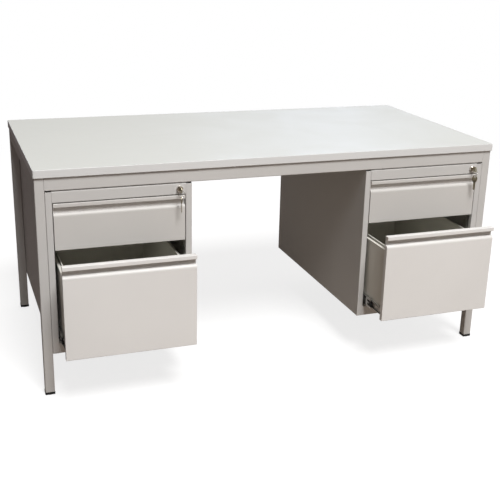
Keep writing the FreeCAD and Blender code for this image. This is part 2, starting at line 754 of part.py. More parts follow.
    # -- file drawer
    openY = f"(-{openBy})"
    drawer_front(name("file_front"), ped, openY, fileFrontBottom, fileFrontTop)
    innerWall = f"({wallLeft}+wallThick)"
    innerFar = f"(pedWidth-{innerWall})"
    cradle = new_body(name("file_cradle"), ped, openY)
    linerBack = f"({frontBack}+sheetMetal)"
    pad(cradle, "YZ_Plane", innerWall, innerFar, [
        (frontBack, boxBottom), (boxRear, boxBottom, "bendOuter"), (boxRear, f"{boxTop}-backDrop"),
        (f"{boxRear}-sheetMetal", f"{boxTop}-backDrop"),
        (f"{boxRear}-sheetMetal", f"{boxBottom}+sheetMetal"),
        (linerBack, f"{boxBottom}+sheetMetal"), (linerBack, boxTop), (frontBack, boxTop)])
    liner(cradle, fileFrontBottom, fileFrontTop)
    node(cradle, name("file_cradle"))
    wallSection = [
        (wallLeft, boxBottom, "bendOuter"), (innerWall, boxBottom, "bendOuter"),
        (innerWall, f"{boxTop}+ridgeRise"), (f"{innerWall}-sheetMetal", f"{boxTop}+ridgeRise"),
        (f"{innerWall}-sheetMetal", f"{boxBottom}+sheetMetal"),
        (f"{wallLeft}+sheetMetal", f"{boxBottom}+sheetMetal"),
        (f"{wallLeft}+sheetMetal", f"{boxTop}-sheetMetal"),
        (f"{wallLeft}+foldWidth-sheetMetal", f"{boxTop}-sheetMetal"),
        (f"{wallLeft}+foldWidth-sheetMetal", f"{boxTop}-foldDrop"),
        (f"{wallLeft}+foldWidth", f"{boxTop}-foldDrop"),
        (f"{wallLeft}+foldWidth", boxTop, "bendOuter"), (wallLeft, boxTop, "bendOuter"),
    ]
    for tail, mirrored in (("file_left_wall", False), ("file_right_wall", True)):
        wall = new_body(name(tail), ped, openY)
        pad(wall, "XZ_Plane", linerBack, boxRear, flip(wallSection) if mirrored else wallSection)
        node(wall, name(tail))
    catch(name("file_catch"), ped, openY, fileCatchTop)
    shifts = {"outer": "0", "middle": f"(-{openBy}/2)", "inner": openY}
    made = slide_parts(prefix, "file", ped, shifts, fileSlideEnd, fileSlideMid)
    shared["file_slide_outer"] += made["outer"]
    group(name("file_slide_middle"), made["middle"])
    group(name("file_slide_inner"), made["inner"])

    # -- top drawer
    drawer_front(name("top_front"), ped, "0", topFrontBottom, topFrontTop)
    tray = new_body(name("top_tray"), ped)
    lip = f"({trayTop}-trayFold)"
    halfTray = [
        (wallLeft, trayTop, "bendOuter"), (f"{wallLeft}+trayFold", trayTop, "bendOuter"),
        (f"{wallLeft}+trayFold", lip), (f"{wallLeft}+trayFold-sheetMetal", lip),
        (f"{wallLeft}+trayFold-sheetMetal", f"{trayTop}-sheetMetal"),
        (f"{wallLeft}+sheetMetal", f"{trayTop}-sheetMetal"),
        (f"{wallLeft}+sheetMetal", f"{trayBottom}+sheetMetal"),
    ]
    trayLoop = halfTray + flip(halfTray)[::-1] + flip([(wallLeft, trayBottom, "bendOuter")])
    trayLoop.append((wallLeft, trayBottom, "bendOuter"))
    pad(tray, "XZ_Plane", linerBack, trayRear, trayLoop)
    liner(tray, topFrontBottom, topFrontTop)
    pad(tray, "XZ_Plane", f"{trayRear}-sheetMetal", trayRear,
        rect(f"{wallLeft}+sheetMetal/2", f"pedWidth-{wallLeft}-sheetMetal/2",
             f"{trayBottom}+sheetMetal/2", f"{lip}-2"))
    node(tray, name("top_tray"))
    catch(name("top_catch"), ped, "0", trayCatchTop)
    made = slide_parts(prefix, "top", ped, {"outer": "0", "inner": "0"}, topSlideEnd, topSlideMid)
    shared["top_slide_outer"] += made["outer"]
    group(name("top_slide_inner"), made["inner"])

    # -- lock barrel, plug with its crank pin, and lock bar
    barrel = new_body(name("lock_barrel"), ped)
    bezelFront = f"({pedFront}-bezelProud)"
    bezel = pad(barrel, "XZ_Plane", bezelFront, pedFront, circle(lockX, lockZ, "bezelSize"))
    front = value(bezelFront)
    bevel_edges(barrel, bezel, lambda box: near(box.YMax, front), "bezelEdge")
    pad(barrel, "XZ_Plane", pedFront, barrelEnd, circle(lockX, lockZ, "barrelSize"))
    cut(barrel, "XZ_Plane", f"{bezelFront}-1", f"{barrelEnd}+1", circle(lockX, lockZ, "plugSize+2*plugGap"))
    node(barrel, name("lock_barrel"))

    plug = new_body(name("lock_plug"), ped)
    pad(plug, "XZ_Plane", f"{bezelFront}-0.4", plugEnd, circle(lockX, lockZ, "plugSize"))
    pad(plug, "XZ_Plane", plugEnd, f"{plugEnd}+crankThick", circle(lockX, lockZ, "crankSize"))
    pinX, pinZ = f"({lockX}-{crankReach})", f"({lockZ}-{crankReach})"
    pad(plug, "XZ_Plane", f"{plugEnd}+crankThick", f"{plugEnd}+crankThick+pinLength",
        circle(pinX, pinZ, "crankPin"))
    halfWay, halfBlade = "(keyThick/2+ballGap)", "(bladeHeight/2+ballGap)"
    cut(plug, "XZ_Plane", f"{bezelFront}-1", f"{bezelFront}+bladeLength+1",
        rect(f"{lockX}-{halfWay}", f"{lockX}+{halfWay}", f"{lockZ}-{halfBlade}", f"{lockZ}+{halfBlade}"))
    node(plug, name("lock_plug"))

    bar = new_body(name("lock_bar"), ped)
    fileFinger = f"({fileCatchTop}-catchHeight-fingerGap)"
    trayFinger = f"({trayCatchTop}-catchHeight-fingerGap)"
    pad(bar, "YZ_Plane", barLeft, barRight,
        rect(armFront, f"{armFront}+barThick+barWidth", f"{fileFinger}-catchHeight", f"{pinZ}+armHeight/2"))
    slotLeft = f"({lockX}-crankRadius-crankPin/2-slotGap)"
    pad(bar, "XZ_Plane", armFront, armBack,
        rect(f"{slotLeft}-4", barRight, f"{pinZ}-armHeight/2", f"{pinZ}+armHeight/2"))
    for top in (fileFinger, trayFinger):
        pad(bar, "XZ_Plane", armFront, armBack,
            rect(f"{wallRight}+fingerTip", barRight, f"{top}-catchHeight", top))
    cut(bar, "XZ_Plane", f"{armFront}-1", f"{armBack}+1",
        rect(slotLeft, f"{pinX}+crankPin/2+slotGap",
             f"{pinZ}-crankPin/2-slotGap", f"{pinZ}+crankPin/2+slotGap"))
    node(bar, name("lock_bar"))

    barRear = f"({armFront}+barThick+barWidth)"
    grip0, grip1 = f"({barRear}+guideGap)", f"({barRear}+guideGap+1)"
    for low in (f"({trayFinger}-catchHeight-60)", f"({trayFinger}+40)"):
        guide = new_body(f"{prefix}Guide", ped)
        pad(guide, "XY_Plane", low, f"{low}+guideHeight", [
            ("pedWidth-sheetMetal", grip1), (f"{barLeft}-guideGap-1", grip1),
            (f"{barLeft}-guideGap-1", f"{barRear}-8"), (f"{barLeft}-guideGap", f"{barRear}-8"),
            (f"{barLeft}-guideGap", grip0), (f"{barRight}+guideGap", grip0),
            (f"{barRight}+guideGap", f"{barRear}-8"), (f"{barRight}+guideGap+1", f"{barRear}-8"),
            (f"{barRight}+guideGap+1", grip0), ("pedWidth-sheetMetal", grip0)])
        shared["lock_bar_guides"].append(guide)

    # -- key in the lock: round bow with a hole, shoulder and notched blade
    key = new_body(name("key"), ped)
    x0, x1 = f"{lockX}-keyThick/2", f"{lockX}+keyThick/2"
    bowY = f"({keyHoleY}+keyHoleShift)"
    pad(key, "YZ_Plane", x0, x1, circle(bowY, lockZ, "bowSize"))
    pad(key, "YZ_Plane", x0, x1,
        rect(bowY, f"{bezelFront}+bladeLength", f"{lockZ}-bladeHeight/2", f"{lockZ}+bladeHeight/2"))
    cut(key, "YZ_Plane", f"{x0}-1", f"{x1}+1", circle(keyHoleY, lockZ, "keyHole"))
    cut(key, "YZ_Plane", f"{x0}-1", f"{x1}+1",
        *[rect(f"{bezelFront}+{a}", f"{bezelFront}+{a}+2", f"{lockZ}-bladeHeight",
               f"{lockZ}-bladeHeight/2+keyNotch") for a in ("5", "9", "14")])
    node(key, name("key"))

    # -- split ring and spare key, hanging from the key's bow
    hoop = new_body(name("key_ring"), f"{ped}+{lockX}", keyHoleY)
    pad(hoop, "XZ_Plane", "-ringWire/2", "ringWire/2",
        circle("0", ringCentre, "ringSize+ringWire"), circle("0", ringCentre, "ringSize-ringWire"))
    hoop.Placement.Rotation = FreeCAD.Rotation(FreeCAD.Vector(0, 0, 1), ringTurn)
    node(hoop, name("key_ring"))

    spare = new_body(name("spare_key"), f"{ped}+{lockX}", keyHoleY)
    holeZ = f"({ringBottom}-keyHole/2+ringWire/2+ringHang)"
    bowZ = f"({holeZ}-keyHoleShift)"
    tipZ = f"({bowZ}+spareBow/2-spareLength)"
    s0, s1 = "-keyThick/2", "keyThick/2"
    pad(spare, "YZ_Plane", s0, s1, circle("0", bowZ, "spareBow"))
    pad(spare, "YZ_Plane", s0, s1, rect("-spareBlade/2", "spareBlade/2", tipZ, bowZ))
    cut(spare, "YZ_Plane", f"{s0}-1", f"{s1}+1", circle("0", holeZ, "keyHole"))
    cut(spare, "YZ_Plane", f"{s0}-1", f"{s1}+1",
        *[rect("spareBlade/2-keyNotch", "spareBlade", f"{tipZ}+{a}", f"{tipZ}+{a}+2") for a in ("5", "10", "16")])
    spare.Placement.Rotation = FreeCAD.Rotation(FreeCAD.Vector(0, 0, 1), spareTurn)
    node(spare, name("spare_key"))


pedestal("left", leftPed, "fileOpenLeft", 0, -12)
pedestal("right", rightPed, "fileOpenRight", 15, 38)
for label, members in shared.items():
    group(label, members)

# ---- check every object, then write each sub-part ----
doc.recompute()
for item in doc.Objects:
    if "Invalid" in item.State or "Error" in item.State:
        faults.append(f"{item.Label}: {item.State}")
    if item.TypeId == "PartDesign::Pocket" and item.BaseFeature.Shape.Volume - item.Shape.Volume < 0.1:
        faults.append(f"{item.Label} cuts nothing")
for item in nodes:
    if item.Shape.isNull() or not item.Shape.isValid() or not item.Shape.Solids:
        faults.append(f"{item.Label}: bad shape")
if len(nodes) > 60:
    faults.append(f"{len(nodes)} nodes")
if faults:
    raise RuntimeError("; ".join(faults))
for item in nodes:
    item.Shape.exportStep(f"parts/{item.Label}.step")
print(f"{len(nodes)} parts written")
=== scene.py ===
import bpy
import bmesh
import math
from mathutils import Matrix, Vector


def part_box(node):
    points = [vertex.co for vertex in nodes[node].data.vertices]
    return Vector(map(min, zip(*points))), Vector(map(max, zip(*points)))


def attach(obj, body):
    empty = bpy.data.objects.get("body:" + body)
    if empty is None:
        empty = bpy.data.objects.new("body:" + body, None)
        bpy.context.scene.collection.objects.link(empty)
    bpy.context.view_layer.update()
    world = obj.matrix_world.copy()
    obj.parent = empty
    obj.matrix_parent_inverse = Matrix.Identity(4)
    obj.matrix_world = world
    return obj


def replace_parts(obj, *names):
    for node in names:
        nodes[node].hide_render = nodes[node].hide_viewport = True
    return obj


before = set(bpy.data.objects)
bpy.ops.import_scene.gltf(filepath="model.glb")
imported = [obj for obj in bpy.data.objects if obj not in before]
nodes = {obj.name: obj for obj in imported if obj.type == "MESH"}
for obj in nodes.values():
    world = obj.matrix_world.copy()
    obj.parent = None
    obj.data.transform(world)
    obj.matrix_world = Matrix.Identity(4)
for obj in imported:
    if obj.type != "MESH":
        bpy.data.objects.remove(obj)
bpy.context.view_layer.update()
sides = ("left", "right")
print("frame loaded:", len(nodes), "nodes")

# ---- camera ----
view = {
    "place": (-1.06113, -2.96393, 1.41250),
    "turn": (71.0318, -1.4584, -19.9072),    # degrees about X, Y and Z
    "lens": 64.151, "sensor": 36.0,
    "shift": (-0.01562, -0.00728),
    "clip": (0.05, 60.0),
}
cameraData = bpy.data.cameras.new("deskCamera")
cameraData.lens = view["lens"]
cameraData.sensor_width = view["sensor"]
cameraData.shift_x, cameraData.shift_y = view["shift"]
cameraData.clip_start, cameraData.clip_end = view["clip"]
camera = bpy.data.objects.new("deskCamera", cameraData)
camera.location = view["place"]
camera.rotation_euler = [math.radians(angle) for angle in view["turn"]]
bpy.context.collection.objects.link(camera)
scene = bpy.context.scene
scene.camera = camera
scene.view_settings.view_transform = "Standard"


# ---- helpers for node trees ----
def newNode(tree, kind, spot, **values):
    # a value is a setting of the node or, by the inlet's name, what that inlet starts with
    item = tree.nodes.new(kind)
    item.location = spot
    for key, value in values.items():
        if hasattr(item, key):
            setattr(item, key, value)
        else:
            item.inputs[key.replace("_", " ")].default_value = value
    return item


def addRange(tree, spot, start=(0.0, 1.0), end=(0.0, 1.0), smooth=False):
    # maps the span that a value comes in onto the span that it leaves in
    item = newNode(tree, "ShaderNodeMapRange", spot, interpolation_type="SMOOTHSTEP" if smooth else "LINEAR")
    for inlet, value in zip(("From Min", "From Max", "To Min", "To Max"), (*start, *end)):
        item.inputs[inlet].default_value = value
    return item


def addDot(tree, spot, way):
    # how far a direction points along way, which is level and given as X and Y
    item = newNode(tree, "ShaderNodeVectorMath", spot, operation="DOT_PRODUCT")
    item.inputs[1].default_value = (*way, 0.0)
    return item


def addMath(tree, spot, operation, first=None, second=None):
    item = newNode(tree, "ShaderNodeMath", spot, operation=operation)
    for number, value in enumerate((first, second)):
        if value is not None:
            item.inputs[number].default_value = value
    return item


def join(tree, source, outlet, target, inlet):
    tree.links.new(source.outputs[outlet], target.inputs[inlet])


# ---- light, floor and world ----
studio = {
    "keyPlace": (0.40, -6.2, 9.3), "keySize": 4.6, "keyPower": 1330.0,    # far, high and nearly in front
    "keyAim": (0.0, 0.0, 0.40),
    "ambientDark": 0.09, "ambientBright": 0.27, "ambientTint": (1.0, 0.90, 0.85),    # from the left and the right
    "rearWay": (0.5, 0.87), "ambientRear": 0.48, "rearTint": (0.94, 0.97, 1.0),    # keeps the back legible
    "glossDark": 0.12, "glossBright": 1.0, "glossFront": 0.35,    # what metal sees: left, right and in front
    # a cool window behind, seen in the top
    "paneWay": (0.415, 0.910), "paneWidth": 0.20, "paneShine": 1.05, "paneTint": (0.76, 0.90, 1.22),
    "floorSize": 24.0, "floorDrop": 0.0002, "floorTone": (0.30, 0.30, 0.30), "floorGlow": 0.78,
    "floorNear": 1.7, "floorFar": 3.4,    # between these the floor fades to white
    "floorBounce": (0.30, 0.25, 0.21), "bounceLeft": (0.12, 0.095, 0.09),    # the floor as the object sees it
}

keyLight = bpy.data.lights.new("keyLamp", "AREA")
keyLight.shape = "DISK"
keyLight.size = studio["keySize"]
keyLight.energy = studio["keyPower"]
keyLamp = bpy.data.objects.new("keyLamp", keyLight)
keyLamp.location = studio["keyPlace"]
keyLamp.rotation_euler = (Vector(studio["keyAim"]) - keyLamp.location).to_track_quat("-Z", "Y").to_euler()
bpy.context.collection.objects.link(keyLamp)

# the backdrop is white to the camera; metal sees it too, darker on the left
world = bpy.data.worlds.new("studioWorld")
scene.world = world
world.use_nodes = True
tree = world.node_tree
tree.nodes.clear()
paths = newNode(tree, "ShaderNodeLightPath", (-900, 0))
mirror = addMath(tree, (-700, -60), "MAXIMUM")
where = newNode(tree, "ShaderNodeTexCoord", (-1100, -320))
apart = newNode(tree, "ShaderNodeSeparateXYZ", (-900, -320))
across = addRange(tree, (-700, -320), (-0.40, 0.45), (studio["glossDark"], studio["glossBright"]), smooth=True)
fade = addRange(tree, (-700, -100), (-0.9, 0.7), (studio["ambientDark"], studio["ambientBright"]))
rearward = addDot(tree, (-900, -560), studio["rearWay"])
behind = addRange(tree, (-700, -560), (0.05, 1.0), (0.0, studio["ambientRear"]))
ahead = addRange(tree, (-700, -760), (-0.85, 0.15), (studio["glossFront"], 1.0), smooth=True)
shine = addMath(tree, (-550, -360), "MULTIPLY")
room = newNode(tree, "ShaderNodeBackground", (-400, -200), Color=(*studio["ambientTint"], 1))
wall = newNode(tree, "ShaderNodeBackground", (-400, -40), Color=(*studio["rearTint"], 1))
soft = newNode(tree, "ShaderNodeAddShader", (-280, -120))
shown = newNode(tree, "ShaderNodeBackground", (-400, -360))
toPane = addDot(tree, (-900, -900), studio["paneWay"])
offPane = addDot(tree, (-900, -1060), (studio["paneWay"][1], -studio["paneWay"][0]))
near = addRange(tree, (-700, -900), (0.2, 0.7), (0.0, studio["paneShine"]), smooth=True)
offset = addMath(tree, (-800, -1060), "ABSOLUTE")
narrow = addRange(tree, (-700, -1060), (studio["paneWidth"], 0.0), smooth=True)
lit = addMath(tree, (-550, -960), "MULTIPLY")
pane = newNode(tree, "ShaderNodeBackground", (-400, -760), Color=(*studio["paneTint"], 1))
seen = newNode(tree, "ShaderNodeAddShader", (-280, -420))
plain = newNode(tree, "ShaderNodeBackground", (-400, -520), Strength=1.0, Color=(1, 1, 1, 1))
glossMix = newNode(tree, "ShaderNodeMixShader", (-180, -200))
cameraMix = newNode(tree, "ShaderNodeMixShader", (20, -200))
out = newNode(tree, "ShaderNodeOutputWorld", (220, -200))
join(tree, where, "Generated", apart, 0)
join(tree, where, "Generated", rearward, 0)
join(tree, where, "Generated", toPane, 0)
join(tree, where, "Generated", offPane, 0)
# what lights the object
join(tree, apart, "X", fade, "Value")
join(tree, rearward, "Value", behind, "Value")
join(tree, fade, "Result", room, "Strength")
join(tree, behind, "Result", wall, "Strength")
join(tree, room, 0, soft, 0)
join(tree, wall, 0, soft, 1)
# what gloss and metal see
join(tree, apart, "X", across, "Value")
join(tree, apart, "Y", ahead, "Value")
join(tree, across, "Result", shine, 0)
join(tree, ahead, "Result", shine, 1)
join(tree, shine, 0, shown, "Strength")
join(tree, toPane, "Value", near, "Value")
join(tree, offPane, "Value", offset, 0)
join(tree, offset, 0, narrow, "Value")
join(tree, near, "Result", lit, 0)
join(tree, narrow, "Result", lit, 1)
join(tree, lit, 0, pane, "Strength")
join(tree, shown, 0, seen, 0)
join(tree, pane, 0, seen, 1)
# which of them a ray gets
join(tree, paths, "Is Glossy Ray", mirror, 0)
join(tree, paths, "Is Transmission Ray", mirror, 1)
join(tree, mirror, 0, glossMix, 0)
join(tree, soft, 0, glossMix, 1)
join(tree, seen, 0, glossMix, 2)
join(tree, paths, "Is Camera Ray", cameraMix, 0)
join(tree, glossMix, 0, cameraMix, 1)
join(tree, plain, 0, cameraMix, 2)
join(tree, cameraMix, 0, out, "Surface")

bpy.ops.object.select_all(action="DESELECT")
bpy.ops.mesh.primitive_plane_add(size=studio["floorSize"], location=(0.0, 0.0, -studio["floorDrop"]))
floor = bpy.context.object
floor.name = "studioFloor"
bpy.ops.object.transform_apply(location=True, rotation=True, scale=True)
floorPaint = bpy.data.materials.new("studioFloorPaint")
floorPaint.use_nodes = True
tree = floorPaint.node_tree
tree.nodes.clear()
paths = newNode(tree, "ShaderNodeLightPath", (-900, 200))
eyes = addMath(tree, (-700, 200), "MAXIMUM")
where = newNode(tree, "ShaderNodeTexCoord", (-1100, -100))
reach = newNode(tree, "ShaderNodeVectorMath", (-900, -100), operation="LENGTH")
fade = addRange(tree, (-700, -100), (studio["floorNear"], studio["floorFar"]), smooth=True)
matte = newNode(tree, "ShaderNodeBsdfDiffuse", (-500, 100), Color=(*studio["floorTone"], 1))
glow = newNode(tree, "ShaderNodeEmission", (-500, -20), Strength=studio["floorGlow"])
white = newNode(tree, "ShaderNodeEmission", (-500, -140), Strength=1.0)
bounce = newNode(tree, "ShaderNodeBsdfDiffuse", (-500, 240))
apart = newNode(tree, "ShaderNodeSeparateXYZ", (-1100, 400))
leftward = addRange(tree, (-900, 400), (-0.75, -1.15))      # darker ground on the left
ground = newNode(tree, "ShaderNodeMix", (-700, 400), data_type="RGBA")
ground.inputs[6].default_value = (*studio["floorBounce"], 1)
ground.inputs[7].default_value = (*studio["bounceLeft"], 1)
both = newNode(tree, "ShaderNodeAddShader", (-300, 60))
spread = newNode(tree, "ShaderNodeMixShader", (-120, 0))
pick = newNode(tree, "ShaderNodeMixShader", (60, 100))
out = newNode(tree, "ShaderNodeOutputMaterial", (260, 100))
join(tree, paths, "Is Camera Ray", eyes, 0)
join(tree, paths, "Is Transmission Ray", eyes, 1)
join(tree, where, "Object", reach, 0)
join(tree, where, "Object", apart, 0)
join(tree, apart, "X", leftward, "Value")
join(tree, leftward, "Result", ground, 0)
join(tree, ground, 2, bounce, "Color")
join(tree, reach, "Value", fade, "Value")
join(tree, matte, 0, both, 0)
join(tree, glow, 0, both, 1)
join(tree, fade, "Result", spread, 0)
join(tree, both, 0, spread, 1)
join(tree, white, 0, spread, 2)
join(tree, eyes, 0, pick, 0)
join(tree, bounce, 0, pick, 1)
join(tree, spread, 0, pick, 2)
join(tree, pick, 0, out, "Surface")
floor.data.materials.append(floorPaint)
print("camera, lamp, backdrop and floor set")


# ---- effects that several finishes share ----
def newEffect(name, inlets, masks, normal=False):
    # masks are the group's plain number outputs
    group = bpy.data.node_groups.new(name, "ShaderNodeTree")
    for label, start in inlets.items():
        socket = group.interface.new_socket(name=label, in_out="INPUT", socket_type="NodeSocketFloat")
        socket.default_value = start
    if normal:
        group.interface.new_socket(name="Normal", in_out="OUTPUT", socket_type="NodeSocketVector")
    for label in masks:
        group.interface.new_socket(name=label, in_out="OUTPUT", socket_type="NodeSocketFloat")
    source = newNode(group, "NodeGroupInput", (-900, 0))
    target = newNode(group, "NodeGroupOutput", (700, 0))
    return group, source, target


def makeEdgeEffect():
    # rounded normal of every sharp edge, and a mask that is 1 on the edge itself
    group, source, target = newEffect("edgeEffect", {"Radius": 0.001, "Bite": 0.25}, ["Mask"], normal=True)
    soft = newNode(group, "ShaderNodeBevel", (-600, 100), samples=4)
    shape = newNode(group, "ShaderNodeNewGeometry", (-600, -150))
    agree = newNode(group, "ShaderNodeVectorMath", (-380, 0), operation="DOT_PRODUCT")
    turned = addMath(group, (-180, 0), "SUBTRACT", first=1.0)
    ramp = addRange(group, (60, 0), smooth=True)
    join(group, source, "Radius", soft, "Radius")
    join(group, soft, "Normal", agree, 0)
    join(group, shape, "True Normal", agree, 1)
    join(group, agree, "Value", turned, 1)
    join(group, turned, 0, ramp, "Value")
    join(group, source, "Bite", ramp, "From Max")
    join(group, soft, "Normal", target, "Normal")
    join(group, ramp, "Result", target, "Mask")
    return group


def makeCoatEffect():
    # fine orange peel of a baked powder coat, with slow clouds across a panel
    group, source, target = newEffect("coatEffect", {"Peel": 700.0, "Cloud": 3.0}, ["Height", "Cloud"])
    where = newNode(group, "ShaderNodeTexCoord", (-900, -250))
    peel = newNode(group, "ShaderNodeTexNoise", (-600, 150), Detail=2.0, Roughness=0.45)
    speck = newNode(group, "ShaderNodeTexVoronoi", (-600, -120), feature="SMOOTH_F1", Smoothness=0.8)
    finer = addMath(group, (-800, -60), "MULTIPLY", second=1.7)          # specks to one bump of the peel
    blend = addMath(group, (-300, 60), "MULTIPLY_ADD", second=0.35)      # how deep the specks are beside the peel
    cloud = newNode(group, "ShaderNodeTexNoise", (-600, -420), Detail=4.0, Roughness=0.55)
    even = addRange(group, (-300, -420), (0.3, 0.7))
    for pattern in (peel, speck, cloud):
        join(group, where, "Object", pattern, "Vector")
    join(group, source, "Peel", peel, "Scale")
    join(group, source, "Peel", finer, 0)
    join(group, finer, 0, speck, "Scale")
    join(group, source, "Cloud", cloud, "Scale")
    join(group, speck, "Distance", blend, 0)
    join(group, peel, "Fac", blend, 2)
    join(group, cloud, "Fac", even, "Value")
    join(group, blend, 0, target, "Height")
    join(group, even, "Result", target, "Cloud")
    return group


def makeDustEffect():
    # settles only on faces that look up
    group, source, target = newEffect("dustEffect", {"Scale": 60.0, "Amount": 0.3}, ["Mask"])
    where = newNode(group, "ShaderNodeTexCoord", (-900, -200))
    shape = newNode(group, "ShaderNodeNewGeometry", (-900, 150))
    apart = newNode(group, "ShaderNodeSeparateXYZ", (-700, 150))
    up = addRange(group, (-500, 150), (0.55, 0.98), smooth=True)
    grain = newNode(group, "ShaderNodeTexNoise", (-700, -150), Detail=6.0, Roughness=0.65)
    patch = addRange(group, (-500, -150), (0.42, 0.72))
    both = addMath(group, (-250, 0), "MULTIPLY")
    part = addMath(group, (-50, 0), "MULTIPLY")
    join(group, shape, "Normal", apart, 0)
    join(group, apart, "Z", up, "Value")
    join(group, where, "Object", grain, "Vector")
    join(group, source, "Scale", grain, "Scale")
    join(group, grain, "Fac", patch, "Value")
    join(group, up, "Result", both, 0)
    join(group, patch, "Result", both, 1)
    join(group, both, 0, part, 0)
    join(group, source, "Amount", part, 1)
    join(group, part, 0, target, "Mask")
    return group


def makePlateEffect():
    # zinc or nickel plating: drawn streaks along one way, soft crystals across them
    group, source, target = newEffect("plateEffect", {"Streak": 900.0, "Crystal": 130.0}, ["Height", "Tone"])
    where = newNode(group, "ShaderNodeTexCoord", (-1000, 0))
    stretched = newNode(group, "ShaderNodeMapping", (-800, 150), Scale=(1.0, 0.03, 1.0))
    streak = newNode(group, "ShaderNodeTexNoise", (-550, 150), Detail=3.0, Roughness=0.6)
    crystal = newNode(group, "ShaderNodeTexVoronoi", (-550, -150), feature="F1")
    hue = newNode(group, "ShaderNodeRGBToBW", (-330, -150))
    mixed = addMath(group, (-130, 0), "MULTIPLY_ADD", second=0.45)       # what the crystals add to the streaks
    level = addRange(group, (80, -40), (0.35, 1.0))
    join(group, where, "Object", stretched, "Vector")
    join(group, stretched, "Vector", streak, "Vector")
    join(group, where, "Object", crystal, "Vector")
    join(group, source, "Streak", streak, "Scale")
    join(group, source, "Crystal", crystal, "Scale")
    join(group, crystal, "Color", hue, "Color")
    join(group, hue, "Val", mixed, 0)
    join(group, streak, "Fac", mixed, 2)
    join(group, mixed, 0, level, "Value")
    join(group, streak, "Fac", target, "Height")
    join(group, level, "Result", target, "Tone")
    return group


def makeBoardEffect():
    # melamine paper: a pearl of tiny pits, a very faint fibre and the smudges of hands
    group, source, target = newEffect("boardEffect", {"Pearl": 1400.0, "Fibre": 160.0},
                                      ["Height", "Tone", "Smudge"])
    where = newNode(group, "ShaderNodeTexCoord", (-1000, 0))
    pearl = newNode(group, "ShaderNodeTexVoronoi", (-600, 250), feature="SMOOTH_F1", Smoothness=1.0)
    stretched = newNode(group, "ShaderNodeMapping", (-800, 0), Scale=(0.12, 1.0, 1.0))
    fibre = newNode(group, "ShaderNodeTexNoise", (-600, 0), Detail=5.0, Roughness=0.6)
    smudge = newNode(group, "ShaderNodeTexNoise", (-600, -260), Scale=5.0, Detail=3.0, Roughness=0.5,
                     Distortion=0.6)
    even = addRange(group, (-380, -260), (0.35, 0.7))
    join(group, where, "Object", pearl, "Vector")
    join(group, where, "Object", stretched, "Vector")
    join(group, stretched, "Vector", fibre, "Vector")
    join(group, where, "Object", smudge, "Vector")
    join(group, source, "Pearl", pearl, "Scale")
    join(group, source, "Fibre", fibre, "Scale")
    join(group, smudge, "Fac", even, "Value")
    join(group, pearl, "Distance", target, "Height")
    join(group, fibre, "Fac", target, "Tone")
    join(group, even, "Result", target, "Smudge")
    return group


effects = {
    "edge": makeEdgeEffect(), "coat": makeCoatEffect(), "dust": makeDustEffect(),
    "plate": makePlateEffect(), "board": makeBoardEffect(),
}
print("shared effects made:", len(effects))


# ---- how each kind of surface is layered; a finish may give its own value for any of these ----
surfaces = {
    # baked powder coat
    "paint": {
        "effect": "coat", "drift": "Cloud", "gloss": "Cloud", "span": (0.972, 1.028), "roughSpan": (-0.04, 0.06),
        "radius": 0.0012, "bite": 0.22, "bump": 0.55, "depth": 0.00006, "pattern": {"Peel": 700.0, "Cloud": 2.6},
        "dust": {"Scale": 90.0, "Amount": 0.10}, "dustTone": (0.52, 0.50, 0.46),
    },
    # melamine board and its edge band
    "board": {
        "effect": "board", "drift": "Tone", "gloss": "Smudge", "span": (0.985, 1.015), "roughSpan": (-0.05, 0.07),
        "bite": 0.25, "edge": 1.05, "bump": 0.4,
        "dust": {"Scale": 40.0, "Amount": 0.05}, "dustTone": (0.60, 0.58, 0.54),
    },
    # plated steel, nickel and brass
    "metal": {
        "effect": "plate", "drift": "Tone", "gloss": "Tone", "radius": 0.0004, "bite": 0.25, "edge": 1.12,
        "bump": 0.5,
    },
    # moulded plastic
    "plastic": {
        "effect": "coat", "drift": "Cloud", "gloss": "Cloud", "span": (0.85, 1.3), "roughSpan": (-0.06, 0.10),
        "radius": 0.0006, "bite": 0.30, "wear": 0.5, "bump": 0.5, "depth": 0.00005,
        "dust": {"Scale": 300.0, "Amount": 0.12}, "dustTone": (0.30, 0.28, 0.25),
    },
}
